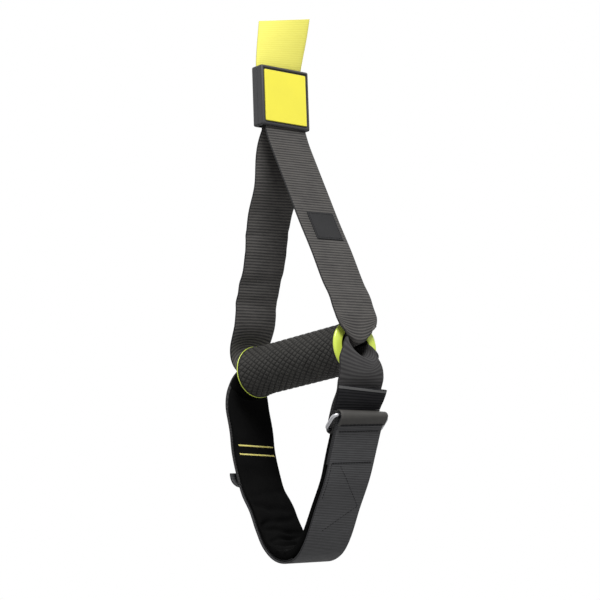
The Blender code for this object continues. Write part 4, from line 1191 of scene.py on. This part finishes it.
# Pad: black fleece over thin foam, sewn inside the loop where the foot rests. It is crowned,
# thin at its edges, and wrinkles across where the loop turns.
PAD_START = 0.002
PAD_STOP = 0.0042
PAD_THICKNESS = 0.0038
PAD_CROWN = 0.0005                 # by which its edges are thinner
PAD_EDGE = 0.004                   # beside each edge, over which it thins
TAPE_THICKNESS = 0.0009
BLEND = 0.012
PAD_STEP = 0.0010
PAD_FACES = 30
PILE = 0.00012
PILE_GRAIN = 900                   # per metre
WANDER = 0.003                     # of a wrinkle along the pad
WANDER_GRAIN = 90                  # per metre across the pad
WANDER_APART = 900                 # sets one wrinkle's course apart from the next one's
DEPTH_SHARE = 1.15                 # of its listed depth, that a wrinkle has on average
DEPTH_CHANGE = 0.9                 # and how far that varies across the pad
DEPTH_GRAIN = 110
DEPTH_APART = 700
SWELL = 0.0034                     # where the fleece bunches up in the turn
SWELL_PLACE = 0.148
SWELL_BREADTH = 0.032
FLEECE_ROOT = (0.0006, 0.0006, 0.0007)
FLEECE_TIP = (0.0085, 0.0085, 0.0085)
pad_wrinkles = (                   # (along the pad, depth, width, slant)
    (0.020, 0.0004, 0.0060, 0.20), (0.060, 0.0007, 0.0050, 0.15),
    (0.078, 0.0011, 0.0036, -0.20), (0.091, 0.0016, 0.0026, 0.15),
    (0.101, 0.0019, 0.0024, -0.10), (0.110, 0.0020, 0.0022, 0.18),
    (0.118, 0.0020, 0.0022, -0.12), (0.127, 0.0019, 0.0024, 0.12),
    (0.138, 0.0013, 0.0030, -0.05), (0.152, 0.0007, 0.0040, 0.00))
hanger_depth = YOKE_THICKNESS + GAP
strap_depth = STRAP_THICKNESS + GAP + TAPE_THICKNESS
fold_depth = inner_ply + STRAP_THICKNESS / 2
pad_depths = (                     # (along the loop, from its line to the pad's back)
    (0, hanger_depth), (STRAP_START, hanger_depth), (STRAP_START + BLEND, strap_depth),
    (loop_length - FOLD_LENGTH - BLEND, strap_depth), (loop_length - FOLD_LENGTH, fold_depth),
    (loop_length, fold_depth))
pad_line, pad_run = spaced(cut(loop, PAD_START, loop_length - PAD_STOP), PAD_STEP)


def pad_depth(mark):
    """How far inside the loop's line the pad's middle layer lies."""
    for (a, low), (b, high) in zip(pad_depths, pad_depths[1:]):
        if a <= mark <= b:
            depth = low + (high - low) * (mark - a) / (b - a)
    return depth + GAP + PAD_THICKNESS / 2


pad_path = shifted(pad_line, [pad_depth(PAD_START + pad_run * j / (len(pad_line) - 1))
                              for j in range(len(pad_line))])


def pad_relief(along, aside, face):
    """The inner face is crowned and wrinkled; the back lies flat on the webbing."""
    edge = min(1, (WEBBING_WIDTH / 2 - abs(aside)) / PAD_EDGE)
    crown = PAD_CROWN * (edge - 1)
    pile = PILE * noise.noise(Vector((along, aside, 0)) * PILE_GRAIN)
    dip = 0
    for place, depth, breadth, slant in pad_wrinkles:
        drift = WANDER * noise.noise(Vector((aside * WANDER_GRAIN, place * WANDER_APART, 0)))
        away = (along - place - slant * aside - drift) / breadth
        depth *= DEPTH_SHARE + DEPTH_CHANGE * noise.noise(
            Vector((aside * DEPTH_GRAIN, place * DEPTH_APART, 1)))
        dip -= depth * math.exp(-away * away)
    swell = SWELL * math.exp(-((along - SWELL_PLACE) / SWELL_BREADTH) ** 2)
    return face * (crown + pile) + (dip * edge + swell if face > 0 else 0)


black_fleece = material("black_fleece", FLEECE_TIP, roughness=0.95, specular=0.02)
nap = grained(black_fleece, 1500.0, detail=4.0)
brushed = grained(black_fleece, 70.0, detail=5.0)
tuft = added(black_fleece, nap, share=0.6, base=0.0)
tuft = added(black_fleece, brushed, share=0.5, base=tuft)
tinted(black_fleece, tuft, FLEECE_ROOT, FLEECE_TIP)
bumped(black_fleece, nap, strength=0.7, depth=0.0002)
pad = lay_band("fleece_pad", pad_path, pad_run, PAD_THICKNESS, black_fleece, relief=pad_relief,
               faces=PAD_FACES)
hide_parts("cradle_pad")
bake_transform(pad)

# Lining: a thin sheet of the same black fleece, laid from near the pad's end to the tube along the
# hanger's inner face, which keeps that stretch black.
LINING_THICKNESS = 0.0004
LINING_LENGTH = 0.020
lining_start = spaced(far_hanger, FINE_STEP)[1] - PAD_START
lining_stations, lining_run = laid_on(
    far_run, -YOKE_THICKNESS / 2 - RIB_HEIGHT - LINING_THICKNESS / 2, lining_start,
    LINING_LENGTH)
lining = lay_band("fleece_lining", lining_stations, lining_run, LINING_THICKNESS, black_fleece)
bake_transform(lining)

# Bar tacks: two rows of yellow thread, each a close zigzag, sewn through the pad and the
# hanger behind it. They are a little worn.
TACK_PLACE = 0.0350
TACK_PITCH = 0.0068
TACK_LENGTH = 0.032
TACK_SLANT = 0.0018
TACK_HEIGHT = 0.0014
TACK_ZIGZAGS = 44
TACK_THREAD_RADIUS = 0.00033
TACK_YELLOW = (1.0, 0.88, 0.14)
TACK_WORN = (0.72, 0.66, 0.34)
yellow_thread = material("yellow_thread", TACK_YELLOW, roughness=0.55)
tinted(yellow_thread, grained(yellow_thread, 260.0, detail=4.0), TACK_WORN, TACK_YELLOW)
for name, place in (("bar_tack_upper", TACK_PLACE), ("bar_tack_lower", TACK_PLACE + TACK_PITCH)):
    spots = []
    for k in range(TACK_ZIGZAGS):
        share = k / TACK_ZIGZAGS
        mark = place + TACK_SLANT * share
        side = TACK_LENGTH * (share - 0.5)
        half = TACK_HEIGHT / 2
        spots.append((spot_on(pad_path, mark - half, side, PAD_THICKNESS / 2),
                      spot_on(pad_path, mark + half, side + TACK_LENGTH / TACK_ZIGZAGS,
                              PAD_THICKNESS / 2)))
    tack = stitch_line(name + "_zigzag", spots, TACK_THREAD_RADIUS, yellow_thread)
    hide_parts(name)
    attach(tack, "cradle")

# Tail: the strap's free end below the hook tape. It has peeled off the loop's back at the far
# side and curls away from it.
TAIL_RISE = 0.0150
TAIL_STANDOFF = 0.0072
tail_shares = (                    # (up along the loop, out from it)
    (0.00, 0.00), (0.06, 0.00), (0.13, 0.10), (0.24, 0.42), (0.42, 0.75), (0.65, 0.94),
    (0.89, 0.92), (1.00, 0.82))
tail_base, tail_next = cut(loop, STRAP_START - GAP, STRAP_START)[::-1][:2]
tail_way = heading(tail_base, tail_next)
tail_out = Vector((-tail_way.y, tail_way.x))
tail_path = []
for up, out in tail_shares:
    place = (tail_way * (GAP + up * TAIL_RISE)
             + tail_out * (out * TAIL_STANDOFF - STRAP_THICKNESS / 2))
    tail_path.append((tail_base[0] + place.x, 0, tail_base[2] + place.y, tail_base[3], 0, 0))
tail_stations, tail_length = spaced(smooth(tail_path, CURVE_STEPS), FINE_STEP)
tail = lay_band("strap_tail_end", tail_stations, tail_length, STRAP_THICKNESS, grey_webbing,
                relief=strap_ribs)
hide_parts("strap_tail")
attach(tail, "tail")
